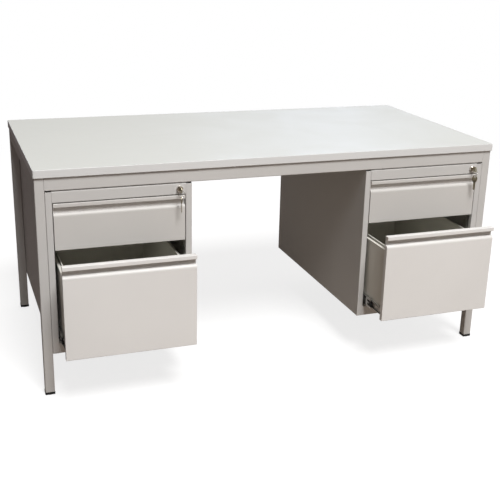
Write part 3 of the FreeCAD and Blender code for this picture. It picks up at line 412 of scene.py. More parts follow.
# edge lightens the colour on every edge: partly worn paint, partly a painted highlight
finishLooks = {
    "paint": {
        "framePaint": {"colour": (0.568, 0.556, 0.538), "rough": 0.46, "shine": 0.32, "edge": 1.10,
                       "pattern": {"Peel": 650.0, "Cloud": 2.6}},
        "pedestalPaint": {"colour": (0.568, 0.558, 0.542), "rough": 0.48, "shine": 0.30, "edge": 1.10},
        "topFrontPaint": {"colour": (0.596, 0.580, 0.556), "rough": 0.44, "shine": 0.32, "edge": 1.12},
        # painted light: the same front paint made lighter, on the file fronts and on the walls of the top fronts'
        # grip
        "frontPaintPaintedLight": {"colour": (0.760, 0.748, 0.728), "rough": 0.44, "shine": 0.32, "edge": 1.10},
        "drawerPaint": {"colour": (0.712, 0.698, 0.640), "rough": 0.50, "shine": 0.30, "edge": 1.15},
    },
    "board": {
        "laminate": {"colour": (0.604, 0.612, 0.580), "rough": 0.42, "shine": 0.30,
                     "radius": 0.0008, "depth": 0.00004, "pattern": {"Pearl": 1500.0, "Fibre": 120.0}},
        "edgeBand": {"colour": (0.690, 0.692, 0.685), "rough": 0.38, "shine": 0.34,
                     "radius": 0.0010, "depth": 0.00005, "pattern": {"Pearl": 900.0, "Fibre": 120.0}},
    },
    "metal": {
        "zincPlate": {"dark": (0.46, 0.46, 0.45), "light": (0.70, 0.70, 0.68), "rough": (0.30, 0.46),
                      "depth": 0.00003, "pattern": {"Streak": 500.0, "Crystal": 160.0}},
        "nickel": {"dark": (0.62, 0.58, 0.53), "light": (0.76, 0.72, 0.67), "rough": (0.16, 0.28),
                   "depth": 0.00001, "pattern": {"Streak": 1400.0, "Crystal": 500.0}},
        "keyBrass": {"dark": (0.34, 0.32, 0.23), "light": (0.56, 0.53, 0.40), "rough": (0.26, 0.44),
                     "depth": 0.00002, "pattern": {"Streak": 1600.0, "Crystal": 600.0}},
        "ringSteel": {"dark": (0.52, 0.51, 0.49), "light": (0.70, 0.69, 0.66), "rough": (0.18, 0.30),
                      "depth": 0.00001, "pattern": {"Streak": 2000.0, "Crystal": 800.0}},
    },
    "plastic": {
        "blackPlastic": {"colour": (0.012, 0.012, 0.013), "rough": 0.50, "shine": 0.40,
                         "scuff": (0.075, 0.072, 0.068), "pattern": {"Peel": 1500.0, "Cloud": 30.0}},
    },
}


def addEffect(tree, effect, spot, **values):
    item = newNode(tree, "ShaderNodeGroup", spot)
    item.node_tree = effects[effect]
    for key, value in values.items():
        item.inputs[key].default_value = value
    return item


def colourMix(tree, spot, first, second):
    item = newNode(tree, "ShaderNodeMix", spot, data_type="RGBA")
    for inlet, colour in ((6, first), (7, second)):
        if colour:
            item.inputs[inlet].default_value = (*colour, 1)
    return item


def shade(colour, amount):
    return tuple(min(1.0, max(0.0, part * amount)) for part in colour)


def makeFinish(name, kind, look):
    # a tone that drifts over the piece, edges painted lighter as worn paint and as a painted highlight, and dust;
    # sheen and bump come from the same pattern
    style = {**surfaces[kind], **look}
    if kind == "metal":
        dark, light = style["dark"], style["light"]
        edgeWearAndHighlight = shade(light, style["edge"])
        rough = (style["rough"][1], style["rough"][0])      # its light parts are the smoother ones
    else:
        dark, light = [shade(style["colour"], amount) for amount in style["span"]]
        edgeWearAndHighlight = style["scuff"] if "scuff" in style else shade(style["colour"], style["edge"])
        rough = [style["rough"] + amount for amount in style["roughSpan"]]
    finish = bpy.data.materials.new(name)
    finish.use_nodes = True
    tree = finish.node_tree
    tree.nodes.clear()
    shader = newNode(tree, "ShaderNodeBsdfPrincipled", (500, 0))
    out = newNode(tree, "ShaderNodeOutputMaterial", (800, 0))
    edge = addEffect(tree, "edge", (-900, -250), Radius=style["radius"], Bite=style["bite"])
    pattern = addEffect(tree, style["effect"], (-900, 150), **style["pattern"])
    tone = colourMix(tree, (-400, 250), dark, light)
    # the edge mask lays the lighter edge colour on: partly wear, partly a painted highlight
    wornAndHighlitEdges = colourMix(tree, (-150, 200), None, edgeWearAndHighlight)
    sheen = addRange(tree, (-150, -60), end=rough)
    bump = newNode(tree, "ShaderNodeBump", (200, -250), Strength=style["bump"], Distance=style["depth"])
    join(tree, pattern, style["drift"], tone, 0)
    join(tree, tone, 2, wornAndHighlitEdges, 6)
    if "wear" in style:      # how much of the scuffed colour an edge shows
        part = addMath(tree, (-650, -250), "MULTIPLY", second=style["wear"])
        join(tree, edge, "Mask", part, 0)
        join(tree, part, 0, wornAndHighlitEdges, 0)
    else:
        join(tree, edge, "Mask", wornAndHighlitEdges, 0)
    top = wornAndHighlitEdges
    if "dust" in style:
        dust = addEffect(tree, "dust", (-900, 0), **style["dust"])
        top = colourMix(tree, (80, 150), None, style["dustTone"])
        join(tree, dust, "Mask", top, 0)
        join(tree, wornAndHighlitEdges, 2, top, 6)
    join(tree, top, 2, shader, "Base Color")
    join(tree, pattern, style["gloss"], sheen, "Value")
    join(tree, sheen, "Result", shader, "Roughness")
    join(tree, pattern, "Height", bump, "Height")
    join(tree, edge, "Normal", bump, "Normal")
    join(tree, bump, "Normal", shader, "Normal")
    join(tree, shader, 0, out, "Surface")
    if kind == "metal":
        shader.inputs["Metallic"].default_value = 1.0
    else:
        shader.inputs["Specular IOR Level"].default_value = style["shine"]
    return finish


finishes = {name: makeFinish(name, kind, look)
            for kind, looks in finishLooks.items() for name, look in looks.items()}
print("finishes made:", len(finishes))

# ---- finish of every node ----
wearers = {
    "laminate": ["worktop_board"],
    "edgeBand": ["worktop_edge_band"],
    "framePaint": ["leg_front_left", "leg_front_right", "leg_rear_left", "leg_rear_right",
                   "front_rail", "rear_rail", "end_rails", "corner_plates"],
    "blackPlastic": ["foot_plugs"],
    "zincPlate": ["frame_screws", "lock_bar_guides", "slide_uprights", "file_slide_outer", "top_slide_outer"],
}
perSide = {
    "pedestalPaint": ["pedestal_left_side", "pedestal_right_side", "pedestal_back", "pedestal_bottom",
                      "lock_rail"],
    "topFrontPaint": ["top_front"],
    "frontPaintPaintedLight": ["file_front"],
    "drawerPaint": ["file_cradle", "file_left_wall", "file_right_wall", "top_tray"],
    "zincPlate": ["file_catch", "top_catch", "file_slide_middle", "file_slide_inner", "top_slide_inner",
                  "lock_bar"],
    "nickel": ["lock_barrel", "lock_plug"],
    "keyBrass": ["key", "spare_key"],
    "ringSteel": ["key_ring"],
}
for name, parts in perSide.items():
    wearers.setdefault(name, []).extend(f"{side}_{part}" for side in sides for part in parts)
for name, parts in wearers.items():
    for part in parts:
        nodes[part].material_slots[0].material = finishes[name]
print("nodes dressed, still bare:", sorted(set(nodes).difference(*wearers.values())))


# ---- small helpers for modelling; the lengths they take or give are in millimetres ----
facing = 0.9      # a face looks along an axis when its normal points this much that way


def mm(*values):
    return tuple(value / 1000.0 for value in values)


def clearSelection():
    if bpy.context.object and bpy.context.object.mode != "OBJECT":
        bpy.ops.object.mode_set(mode="OBJECT")
    bpy.ops.object.select_all(action="DESELECT")


def mergeAll(within=0.005):
    bpy.ops.mesh.select_all(action="SELECT")
    bpy.ops.mesh.remove_doubles(threshold=within / 1000.0)


def beginShape(name):
    # takes the primitive that was just added and opens it in edit mode
    item = bpy.context.object
    item.name = name
    item.data.name = name
    bpy.ops.object.transform_apply(location=True, rotation=True, scale=True)
    bpy.ops.object.mode_set(mode="EDIT")
    return item


def addBlock(name, low, high):
    clearSelection()
    low, high = mm(*low), mm(*high)
    centre = [(a + b) / 2 for a, b in zip(low, high)]
    bpy.ops.mesh.primitive_cube_add(size=1.0, location=centre, scale=[b - a for a, b in zip(low, high)])
    beginShape(name)


def openCopy(node, name):
    # a copy of a node's mesh as a piece of its own, merged and open in edit mode
    clearSelection()
    item = bpy.data.objects.new(name, nodes[node].data.copy())
    item.data.name = name
    bpy.context.collection.objects.link(item)
    item.select_set(True)
    bpy.context.view_layer.objects.active = item
    bpy.ops.object.mode_set(mode="EDIT")
    mergeAll()
    return item


def choose(kind, test):
    # selects vertices, edges or faces by their place and, for faces, normal
    bpy.ops.mesh.select_mode(type=kind)
    bpy.ops.mesh.select_all(action="DESELECT")
    mesh = bmesh.from_edit_mesh(bpy.context.object.data)
    mesh.normal_update()
    if kind == "FACE":
        for face in mesh.faces:
            face.select_set(test(face.calc_center_median() * 1000.0, face.normal))
    elif kind == "EDGE":
        for edge in mesh.edges:
            edge.select_set(test(edge.verts[0].co * 1000.0, edge.verts[1].co * 1000.0))
    else:
        for corner in mesh.verts:
            corner.select_set(test(corner.co * 1000.0))
    mesh.select_flush_mode()
    bmesh.update_edit_mesh(bpy.context.object.data)


def slide(x=0.0, y=0.0, z=0.0):
    bpy.ops.transform.translate(value=mm(x, y, z))


def grow(x=0.0, y=0.0, z=0.0):
    bpy.ops.mesh.extrude_region_move(TRANSFORM_OT_translate={"value": mm(x, y, z)})


def growEdges(z):
    bpy.ops.mesh.extrude_edges_move(TRANSFORM_OT_translate={"value": mm(0, 0, z)})


def stretch(x=1.0, y=1.0, z=1.0, about=None):
    if about is None:
        bpy.ops.transform.resize(value=(x, y, z))
    else:
        bpy.ops.transform.resize(value=(x, y, z), center_override=mm(*about))


def inset(width):
    bpy.ops.mesh.inset(thickness=width / 1000.0, depth=0)


def cutAcross(point, normal):
    bpy.ops.mesh.select_all(action="SELECT")
    bpy.ops.mesh.bisect(plane_co=mm(*point), plane_no=normal)


def endShape(bevel=0.0, segments=2, angle=35, smooth=40):
    # edges sharper than angle are bevelled, and those under smooth, in degrees, shade as one surface
    mergeAll()
    bpy.ops.mesh.normals_make_consistent(inside=False)
    bpy.ops.object.mode_set(mode="OBJECT")
    item = bpy.context.object
    if bevel:
        edge = item.modifiers.new("softEdge", "BEVEL")
        edge.width = bevel / 1000.0
        edge.segments = segments
        edge.limit_method = "ANGLE"
        edge.angle_limit = math.radians(angle)
        bpy.ops.object.modifier_apply(modifier=edge.name)
    if smooth:
        bpy.ops.object.shade_smooth_by_angle(angle=math.radians(smooth))
    return item


def copyOf(item, name, move=(0, 0, 0), turn=None, mirrorX=None):
    # a copy with its own mesh, in metres as the boxes are; mirrorX is the X of the mirror plane
    other = item.copy()
    other.data = item.data.copy()
    other.name = name
    other.data.name = name
    bpy.context.collection.objects.link(other)
    change = Matrix.Translation(move)
    if turn is not None:
        change = change @ turn
    if mirrorX is not None:
        change = Matrix.Translation((2 * mirrorX, 0, 0)) @ Matrix.Scale(-1, 4, (1, 0, 0)) @ change
    other.data.transform(change)
    if mirrorX is not None:
        other.data.flip_normals()
    return other


def joined(name, pieces):
    clearSelection()
    for piece in pieces:
        piece.select_set(True)
    bpy.context.view_layer.objects.active = pieces[0]
    bpy.ops.object.join()
    pieces[0].name = name
    pieces[0].data.name = name
    return pieces[0]


def turnBy(degrees, axis):
    return Matrix.Rotation(math.radians(degrees), 4, axis)


def fit(item, finish, body):
    item.data.materials.clear()
    item.data.materials.append(finishes[finish])
    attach(item, body)
    return item


# ---- folded sheets whose bends sit a little lower than in their plain shapes ----
# a move says which bend, as Y from and to, behind the sheet's foremost point, and Z from and to,
# and then how far it goes in Y and Z
anyDepth = (-1.0, 900.0)
frontFlange = ((-1.0, 19.5), (680.5, 681.5), (0.0, -2.0))
pedestalSheet = {"finish": "pedestalPaint", "slot": "pedestal_paint", "body": "desk_frame"}
sheetShape = {
    "top_front": {
        "name": "TopDrawerFront", "finish": "topFrontPaint", "slot": "front_paint", "body": "{side}_top_drawer",
        "moves": (
            (anyDepth, (604.9, 615.6), (0.0, -4.9)),       # where the panel turns back under the grip
            (anyDepth, (640.9, 643.0), (0.0, -1.3)),       # top of the lip
            ((10.9, 13.4), (590.0, 643.0), (1.2, 0.0)),    # wall behind the grip
        ),
        # painted light: the walls behind the grip take the lighter paint
        "well": "frontPaintPaintedLight", "wellDepth": 10.0, "wellRise": (611.0, 641.0),
    },
    "file_front": {
        "name": "FileDrawerFront", "finish": "frontPaintPaintedLight", "slot": "front_paint",
        "body": "{side}_file_drawer",
        "moves": (
            (anyDepth, (450.4, 461.1), (0.0, -6.1)),
            (anyDepth, (475.0, 489.0), (0.0, -1.9)),
            ((10.9, 13.4), (440.0, 489.0), (3.6, 0.0)),
        ),
        # painted shade: the grip's walls keep the plain front paint, darker than the rest of the file front
        "well": "topFrontPaint", "wellDepth": 10.0, "wellRise": (455.2, 484.5),
    },
    "lock_rail": {"name": "LockRail", **pedestalSheet, "moves": ((anyDepth, (679.3, 684.0), (0.0, -2.0)),)},
    "pedestal_left_side": {"name": "PedestalLeftSide", **pedestalSheet, "moves": (frontFlange,)},
    "pedestal_right_side": {"name": "PedestalRightSide", **pedestalSheet, "moves": (frontFlange,)},
}


def makeSheet(side, part, look):
    node = f"{side}_{part}"
    sheet = openCopy(node, side + look["name"])
    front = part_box(node)[0].y * 1000.0
    for deep, high, (shiftY, shiftZ) in look["moves"]:
        choose("VERT", lambda spot: deep[0] < spot.y - front < deep[1] and high[0] < spot.z < high[1])
        slide(y=shiftY, z=shiftZ)
    endShape(smooth=0)
    fit(sheet, look["finish"], look["body"].format(side=side))
    if "well" in look:      # painted light and shade on the walls of the grip: lighter paint under the top fronts' lip, plain front paint in the lighter-painted file fronts
        sheet.data.materials.append(finishes[look["well"]])
        low, high = look["wellRise"]
        for face in sheet.data.polygons:
            centre = face.center * 1000.0
            if centre.y - front > look["wellDepth"] and low < centre.z < high:
                face.material_index = 1
    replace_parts(sheet, node)


for side in sides:
    for part, look in sheetShape.items():
        makeSheet(side, part, look)
print("folded sheets reshaped")


# ---- walls of the file drawers, with a taller, thicker ridge for hanging files ----
wallShape = {"ridgeFoot": 433.5, "ridgeRise": 2.2, "ridgeGrow": 2.2,
             "foldRise": 430.3, "foldDrop": 1.5, "foldWide": 1.6, "foldGrow": 1.7, "slack": 0.5}


def makeWall(side, hand, way):
    # way is the X direction from the ridge towards the outer fold
    node = f"{side}_file_{hand}_wall"
    s = wallShape
    wall = openCopy(node, f"{side}FileDrawer{hand.capitalize()}Wall")
    low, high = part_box(node)
    ridge, fold = sorted((low.x * way * 1000.0, high.x * way * 1000.0))
    cutAcross((0, 0, s["ridgeFoot"]), (0, 0, 1))
    choose("VERT", lambda spot: spot.z > s["ridgeFoot"] + s["slack"])
    slide(z=s["ridgeRise"])
    choose("VERT", lambda spot: spot.z > s["ridgeFoot"] + s["slack"] and spot.x * way - ridge > s["slack"])
    slide(x=way * s["ridgeGrow"])
    choose("VERT", lambda spot: spot.z > s["foldRise"] and fold - spot.x * way < s["foldWide"])
    slide(x=way * s["foldGrow"])
    choose("VERT", lambda spot: s["foldRise"] < spot.z < s["ridgeFoot"] - s["slack"])
    slide(z=-s["foldDrop"])
    endShape(smooth=0)
    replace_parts(fit(wall, "drawerPaint", f"{side}_file_drawer"), node)


for side in sides:
    makeWall(side, "left", -1)
    makeWall(side, "right", 1)
print("file drawer walls reshaped")


# ---- keys, one in each lock and a spare on each ring ----
keyShape = {
    "thick": 2.2, "hole": 6.5, "holeShift": 4.0, "rim": 0.75, "dish": 0.4, "neck": 3.2,
    "groove": 0.55, "grooveRim": 0.5, "edge": 0.22,
    "lockKey": {"bow": 20.0, "tall": 20.0, "blade": 8.0, "length": 32.0},
    "spareKey": {"bow": 19.0, "tall": 26.0, "blade": 8.0, "length": 39.0},
    "bits": (1.1, 0.3, 1.5, 0.7, 1.3, 0.2),      # how deep each cut of the blade is
    "plainSteps": 2,                             # steps of the blade before its first cut
    "tipSlant": 0.6,                             # share of a step
    "spareTurn": {"left": -12.0, "right": 38.0},
}


def addRound(radius, up=0.0):
    bpy.ops.mesh.primitive_circle_add(vertices=48, radius=radius / 1000.0, location=mm(0, 0, up),
                                      rotation=(0, math.pi / 2, 0))


def makeKey(name, look):
    # drawn upright in the YZ plane: bow round the origin, blade pointing down
    s = keyShape
    radius, half = look["tall"] / 2, look["blade"] / 2
    clearSelection()
    addRound(radius)
    key = beginShape(name)
    stretch(y=look["bow"] / look["tall"])
    addRound(s["hole"] / 2, up=(look["tall"] - look["bow"]) / 2 + s["holeShift"])
    bpy.ops.mesh.select_all(action="SELECT")
    bpy.ops.mesh.bridge_edge_loops()
    # the neck and blade grow out of the bow's lowest edges
    choose("EDGE", lambda a, b: max(a.z, b.z) < -radius * 0.88 and abs(a.y) < half and abs(b.y) < half)
    low = -radius - s["neck"]
    growEdges(-s["neck"])
    stretch(z=0, about=(0, 0, low))
    mesh = bmesh.from_edit_mesh(key.data)
    wide = max(abs(corner.co.y) for corner in mesh.verts if corner.select) * 1000.0
    stretch(y=half / wide, about=(0, 0, low))
    tip = -look["length"]
    cuts = 2 * len(s["bits"]) + 1
    step = (tip - low) / (cuts + s["plainSteps"])
    growEdges(s["plainSteps"] * step)
    for number in range(cuts):
        growEdges(step)
    # the cuts of the blade, on its +Y side, and its slanted tip
    for number, bite in enumerate(s["bits"]):
        level = low + step * (s["plainSteps"] + 1 + 2 * number)
        choose("VERT", lambda spot: abs(spot.z - level) < 0.1 and spot.y > half * 0.95)
        slide(y=-bite)
    choose("VERT", lambda spot: abs(spot.z - tip) < 0.1 and abs(spot.y) > half * 0.95)
    slide(z=-step * s["tipSlant"])
    bpy.ops.object.mode_set(mode="OBJECT")
    skin = key.modifiers.new("plate", "SOLIDIFY")
    skin.thickness = s["thick"] / 1000.0
    skin.offset = 0.0
    bpy.ops.object.modifier_apply(modifier=skin.name)
    bpy.ops.object.mode_set(mode="EDIT")
    # both faces of the bow are dished inside a raised rim, and the blade has a milled groove
    for way in (1, -1):
        choose("FACE", lambda centre, normal: normal.x * way > facing and centre.length < radius * 0.97
               and centre.z > -radius * 0.90)
        inset(s["rim"])
        slide(x=-way * s["dish"])
        choose("FACE", lambda centre, normal: normal.x * way > facing and tip - step * 1.2 < centre.z < low - 0.5
               and abs(centre.y) < half * 0.6)
        inset(s["grooveRim"])
        slide(x=-way * s["groove"])
    return endShape(bevel=s["edge"], angle=32)


lockKey = makeKey("lockKey", keyShape["lockKey"])
spareKey = makeKey("spareKey", keyShape["spareKey"])
for side in sides:
    low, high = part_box(f"{side}_key")
    radius = keyShape["lockKey"]["bow"] / 2000.0
    centre = Vector(((low.x + high.x) / 2, low.y + radius, (low.z + high.z) / 2))
    piece = copyOf(lockKey, f"{side}LockKey", move=centre, turn=turnBy(90, "X"))       # blade into the lock
    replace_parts(fit(piece, "keyBrass", f"{side}_lock_core"), f"{side}_key")
    low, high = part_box(f"{side}_spare_key")
    radius = keyShape["spareKey"]["tall"] / 2000.0
    centre = Vector(((low.x + high.x) / 2, (low.y + high.y) / 2, high.z - radius))
    piece = copyOf(spareKey, f"{side}SpareKey", move=centre, turn=turnBy(keyShape["spareTurn"][side], "Z"))
    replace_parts(fit(piece, "keyBrass", f"{side}_hanging_key"), f"{side}_spare_key")
for item in (lockKey, spareKey):
    bpy.data.objects.remove(item)

# ---- split rings: two flat turns of wire with cut ends ----
ringShape = {"radius": 10.5, "wire": 0.36, "flat": 1.8, "pitch": 0.78, "turns": 2, "steps": 56,
             "turn": {"left": 0.0, "right": 15.0}}


def makeRing():
    s = ringShape
    middle = (s["radius"], 0, 0)
    clearSelection()
    bpy.ops.mesh.primitive_circle_add(vertices=10, radius=s["wire"] / 1000.0, fill_type="NGON",
                                      location=mm(*middle), rotation=(math.pi / 2, 0, 0))
    ring = beginShape("splitRing")
    stretch(x=s["flat"], about=middle)
    bpy.ops.object.mode_set(mode="OBJECT")
    coil = ring.modifiers.new("coil", "SCREW")
    coil.axis = "Z"
    coil.screw_offset = s["pitch"] / 1000.0
    coil.iterations = s["turns"]
    coil.steps = coil.render_steps = s["steps"]
    coil.use_merge_vertices = False
    bpy.ops.object.modifier_apply(modifier=coil.name)
    bpy.ops.object.mode_set(mode="EDIT")
    mergeAll(within=0.002)
    bpy.ops.mesh.fill_holes(sides=0)              # the cut ends of the wire
    return endShape()


splitRing = makeRing()
for side in sides:
    low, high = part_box(f"{side}_key_ring")
    turn = turnBy(ringShape["turn"][side], "Z") @ turnBy(90, "X")
    turn = turn @ Matrix.Translation(mm(0, 0, -ringShape["pitch"]))      # its two turns lie round the origin
    piece = copyOf(splitRing, f"{side}SplitRing", move=(low + high) / 2, turn=turn)
    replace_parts(fit(piece, "ringSteel", f"{side}_hanging_key"), f"{side}_key_ring")
bpy.data.objects.remove(splitRing)
print("keys and split rings made")

# ---- pan-head screws that hold the slides to the drawers ----
screwShape = {
    "head": 4.1, "rise": 1.05, "crown": 2.6, "crownRise": 0.18, "shank": 2.2, "reach": 2.2, "edge": 0.12,
    "recess": 2.0, "depth": 0.75, "taper": 0.55,
    "armSide": 0.62, "armCorner": 0.42,      # how far the recess is pulled in between the arms of its cross
    "steps": (30.0, 62.0),                   # from the member's front end
    "web": 5.3,                              # from the member's edge to its web
}


def makeScrew():
    # the head looks along -X
    s = screwShape
    clearSelection()
    bpy.ops.mesh.primitive_cylinder_add(vertices=24, radius=s["head"] / 1000.0, depth=s["rise"] / 1000.0,
                                        location=mm(-s["rise"] / 2, 0, 0), rotation=(0, math.pi / 2, 0))
    screw = beginShape("slideScrew")
    choose("FACE", lambda centre, normal: normal.x < -facing)
    inset(s["head"] - s["crown"])
    slide(x=-s["crownRise"])
    inset(s["crown"] - s["recess"])
    mesh = bmesh.from_edit_mesh(screw.data)
    for corner in mesh.verts:
        bearing = math.degrees(math.atan2(corner.co.z, corner.co.y)) % 90.0
        if corner.select and 15.0 < bearing < 75.0:
            pull = s["armCorner"] if 25.0 < bearing < 65.0 else s["armSide"]
            corner.co.y *= pull
            corner.co.z *= pull
    bmesh.update_edit_mesh(screw.data)
    grow(x=s["depth"])
    stretch(y=s["taper"], z=s["taper"], about=(0, 0, 0))
    choose("FACE", lambda centre, normal: normal.x > facing and centre.x > -0.1)
    inset(s["head"] - s["shank"])
    grow(x=s["reach"])
    return endShape(bevel=s["edge"], segments=1, angle=50)


def onMember(low, high, x, y=0.0):
    # a place x and y from the front corner of a slide's member, halfway up it
    return Vector((low.x + x / 1000.0, low.y + y / 1000.0, (low.z + high.z) / 2))


slideScrew = makeScrew()
for side in sides:
    for kind in ("file", "top"):
        low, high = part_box(f"{side}_{kind}_slide_inner")
        row = []
        for number, step in enumerate(screwShape["steps"]):
            spot = onMember(low, high, screwShape["web"], step)
            spin = Matrix.Rotation(0.5 + number, 4, "X")      # no two crosses stand alike
            row.append(copyOf(slideScrew, "screw", move=spot, turn=spin))
            row.append(copyOf(slideScrew, "screw", move=spot, mirrorX=(low.x + high.x) / 2))
        fit(joined(f"{side}{kind.capitalize()}SlideScrews", row), "zincPlate", f"{side}_{kind}_drawer")
bpy.data.objects.remove(slideScrew)

# ---- black bumper on the front end of each running member ----
bumperShape = {
    "face": 2.55, "seat": 3.78, "nose": 10.1, "half": 10.0, "ahead": 3.0, "back": 9.0, "prong": 14.0,
    "edge": 0.45,
    "window": 1.1, "windowDepth": 0.6, "panel": 1.4, "panelDepth": 0.9,      # rims and depths of its recesses
}


def makeBumper():
    # X runs from the slide's outer face, and the member's end is at Y 0
    s = bumperShape
    third = s["half"] / 3
    addBlock("bumper", (s["face"], -s["ahead"], -s["half"]), (s["seat"], s["back"], s["half"]))
    cutAcross((0, 0, 0), (0, 1, 0))
    for level in (-third, third):
        cutAcross((0, 0, level), (0, 0, 1))
    choose("FACE", lambda centre, normal: normal.x > facing and centre.y < 0)
    grow(x=s["nose"] - s["seat"])
    choose("FACE", lambda centre, normal: normal.y > facing and centre.y > 1.0 and abs(centre.z) > third)
    bpy.ops.mesh.extrude_faces_move(TRANSFORM_OT_shrink_fatten={"value": s["prong"] / 1000.0})
    choose("FACE", lambda centre, normal: normal.x < -facing and abs(centre.z) < third)
    inset(s["window"])
    slide(x=s["windowDepth"])
    choose("FACE", lambda centre, normal: normal.y < -facing)
    inset(s["panel"])
    slide(y=s["panelDepth"])
    return endShape(bevel=s["edge"], angle=40)


# ---- black latch plate on the back of each running member, a little behind the bumper ----
latchShape = {
    "face": 1.65, "seat": 3.78, "start": 35.0, "end": 50.0, "half": 15.0, "edge": 0.35,
    "outerCut": 0.45, "innerCut": 0.15, "waist": 0.42,      # the waist between the cuts, as shares
    "middle": 0.9, "middleDepth": 0.7, "wing": 1.2, "wingDepth": 0.5,      # rims and depths of its recesses
}


def makeLatch():
    s = latchShape
    half = s["half"]
    addBlock("latch", (s["face"], s["start"], -half), (s["seat"], s["end"], half))
    for share in (-s["outerCut"], -s["innerCut"], s["innerCut"], s["outerCut"]):
        cutAcross((0, 0, half * share), (0, 0, 1))
    choose("FACE", lambda centre, normal: abs(normal.y) > facing and 0.16 < abs(centre.z) / half < 0.44)
    stretch(y=s["waist"], about=(0, (s["start"] + s["end"]) / 2, 0))
    choose("FACE", lambda centre, normal: normal.x < -facing and abs(centre.z) < half * 0.14)
    inset(s["middle"])
    slide(x=s["middleDepth"])
    choose("FACE", lambda centre, normal: normal.x < -facing and abs(centre.z) > half * 0.46)
    inset(s["wing"])
    slide(x=s["wingDepth"])
    return endShape(bevel=s["edge"])


bumper, latch = makeBumper(), makeLatch()
slideFace = {"middle": 3.8, "inner": 6.5}      # from the slide's outer face to the edge of each member
for side in sides:
    low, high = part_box(f"{side}_file_slide_middle")
    spot = onMember(low, high, -slideFace["middle"])
    axis = (low.x + high.x) / 2
    pieces = [copyOf(item, "fitting", move=spot, mirrorX=mirror)
              for item in (bumper, latch) for mirror in (None, axis)]
    fit(joined(f"{side}SlideBumpers", pieces), "blackPlastic", f"{side}_file_slide")
for item in (bumper, latch):
    bpy.data.objects.remove(item)

# ---- black release lever in the channel of each drawer member ----
leverShape = {
    "face": 10.35, "back": 11.72, "start": 236.0, "root": 10.0, "half": 2.6, "edge": 0.3,
    "bends": ((8, 0.4, 1.0), (9, 1.6, 0.82), (9, 1.8, 0.9), (8, 0.6, 1.25)),      # along, up and scale
    "end": 1.1, "tab": 7.0, "tabFoot": 4.0, "tabReach": 6.0, "tabTaper": 0.7, "rim": 1.2, "dish": 0.4,
}


def makeLever():
    s = leverShape
    addBlock("lever", (s["face"], 0, -s["half"]), (s["back"], s["root"], s["half"]))
    choose("FACE", lambda centre, normal: normal.y > facing)
    for along, up, scale in s["bends"]:
        grow(y=along, z=up)
        stretch(z=scale)
    stretch(z=s["end"])
    choose("FACE", lambda centre, normal: normal.y < -facing)
    grow(y=-s["tabFoot"])
    stretch(z=s["tab"] / (2 * s["half"]))
    grow(y=-s["tabReach"])
    stretch(z=s["tabTaper"])
    choose("FACE", lambda centre, normal: normal.x < -facing and centre.y < 0.0)
    inset(s["rim"])
    slide(x=s["dish"])
    return endShape(bevel=s["edge"])


lever = makeLever()
for side in sides:
    low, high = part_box(f"{side}_file_slide_inner")
    spot = onMember(low, high, -slideFace["inner"], leverShape["start"])
    pair = [copyOf(lever, "lever", move=spot, mirrorX=mirror) for mirror in (None, (low.x + high.x) / 2)]
    fit(joined(f"{side}SlideLevers", pair), "blackPlastic", f"{side}_file_drawer")
bpy.data.objects.remove(lever)

# ---- black stops in the front corners of each fixed file member ----
stopShape = {
    "near": 1.5, "far": 9.0, "low": 18.1, "high": 21.0, "front": 0.4, "depth": 10.0, "edge": 0.4,
    "ramp": 4.0, "rampRise": 1.2, "rim": 0.7, "dish": 0.6,
}


def makeStop():
    s = stopShape
    addBlock("slideStop", (s["near"], s["front"], s["low"]), (s["far"], s["depth"], s["high"]))
    cutAcross((0, s["ramp"], 0), (0, 1, 0))
    choose("VERT", lambda spot: spot.y < 1.0 and spot.z < 19.0)
    slide(z=s["rampRise"])
    choose("FACE", lambda centre, normal: normal.y < -facing)
    inset(s["rim"])
    slide(y=s["dish"])
    return endShape(bevel=s["edge"], angle=30)


slideStop = makeStop()
fixedLow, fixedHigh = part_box("file_slide_outer")
flip = Matrix.Scale(-1, 4, (0, 0, 1))
stops = []
for side in sides:
    low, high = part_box(f"{side}_file_slide_inner")
    spot = Vector((low.x - slideFace["inner"] / 1000.0, fixedLow.y, (fixedLow.z + fixedHigh.z) / 2))
    for mirror in (None, (low.x + high.x) / 2):
        stops.append(copyOf(slideStop, "stop", move=spot, mirrorX=mirror))
        lower = copyOf(slideStop, "stop", move=spot, turn=flip, mirrorX=mirror)
        lower.data.flip_normals()
        stops.append(lower)
fit(joined("fixedSlideStops", stops), "blackPlastic", "desk_frame")
bpy.data.objects.remove(slideStop)
print("slide fittings made")

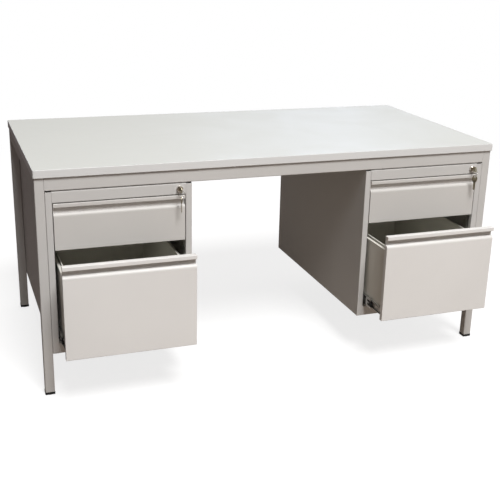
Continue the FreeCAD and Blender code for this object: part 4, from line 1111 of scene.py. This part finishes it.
# ---- moulded glides under the legs: a cap round the tube, a ribbed plug inside it and a round sole ----
glideShape = {
    "rim": 0.8, "low": 2.4, "floor": 7.0, "top": 10.5, "corner": 2.6, "edge": 0.5, "seam": 0.06,
    "plugHalf": 12.8,
    "ribs": ((5, 1.0), (1, 0.94), (4, 1.0), (1, 1.06), (4, 1.0), (1, 0.94), (4, 0.9)),      # up and scale
    "under": 1.8, "underDrop": 0.8,
    "sole": 12.6, "soleGap": 0.6, "soleRim": 2.8, "soleDish": 0.5,
}


def makeGlide(half):
    # half is half the leg's width; the leg stands on the cap's floor
    s = glideShape
    out = half + s["rim"]
    addBlock("glide", (-out, -out, s["low"]), (out, out, s["floor"]))
    choose("EDGE", lambda a, b: abs(a.z - b.z) > 1.0)
    bpy.ops.mesh.bevel(offset=s["corner"] / 1000.0, segments=4)
    choose("FACE", lambda centre, normal: normal.z > facing)
    inset(s["rim"] - s["seam"])
    choose("FACE", lambda centre, normal: normal.z > facing and max(abs(centre.x), abs(centre.y)) > half - 2.0)
    grow(z=s["top"] - s["floor"])
    choose("FACE", lambda centre, normal: normal.z > facing and max(abs(centre.x), abs(centre.y)) < 4.0)
    inset(half - s["plugHalf"])
    for up, scale in s["ribs"]:
        grow(z=up)
        stretch(x=scale, y=scale)
    choose("FACE", lambda centre, normal: normal.z < -facing)
    inset(s["under"])
    slide(z=-s["underDrop"])
    thick = s["low"] - s["soleGap"]
    bpy.ops.mesh.primitive_cylinder_add(vertices=36, radius=s["sole"] / 1000.0, depth=thick / 1000.0,
                                        location=mm(0, 0, thick / 2))
    choose("FACE", lambda centre, normal: normal.z < -facing and centre.z < 0.2)
    inset(s["soleRim"])
    slide(z=s["soleDish"])
    return endShape(bevel=s["edge"], angle=40)


low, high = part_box("leg_front_left")
glide = makeGlide((high.x - low.x) * 500.0)
glides = []
for leg in ("front_left", "front_right", "rear_left", "rear_right"):
    low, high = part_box(f"leg_{leg}")
    glides.append(copyOf(glide, "glide", move=((low.x + high.x) / 2, (low.y + high.y) / 2, 0)))
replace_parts(fit(joined("legGlides", glides), "blackPlastic", "desk_frame"), "foot_plugs")
bpy.data.objects.remove(glide)
print("leg glides made")
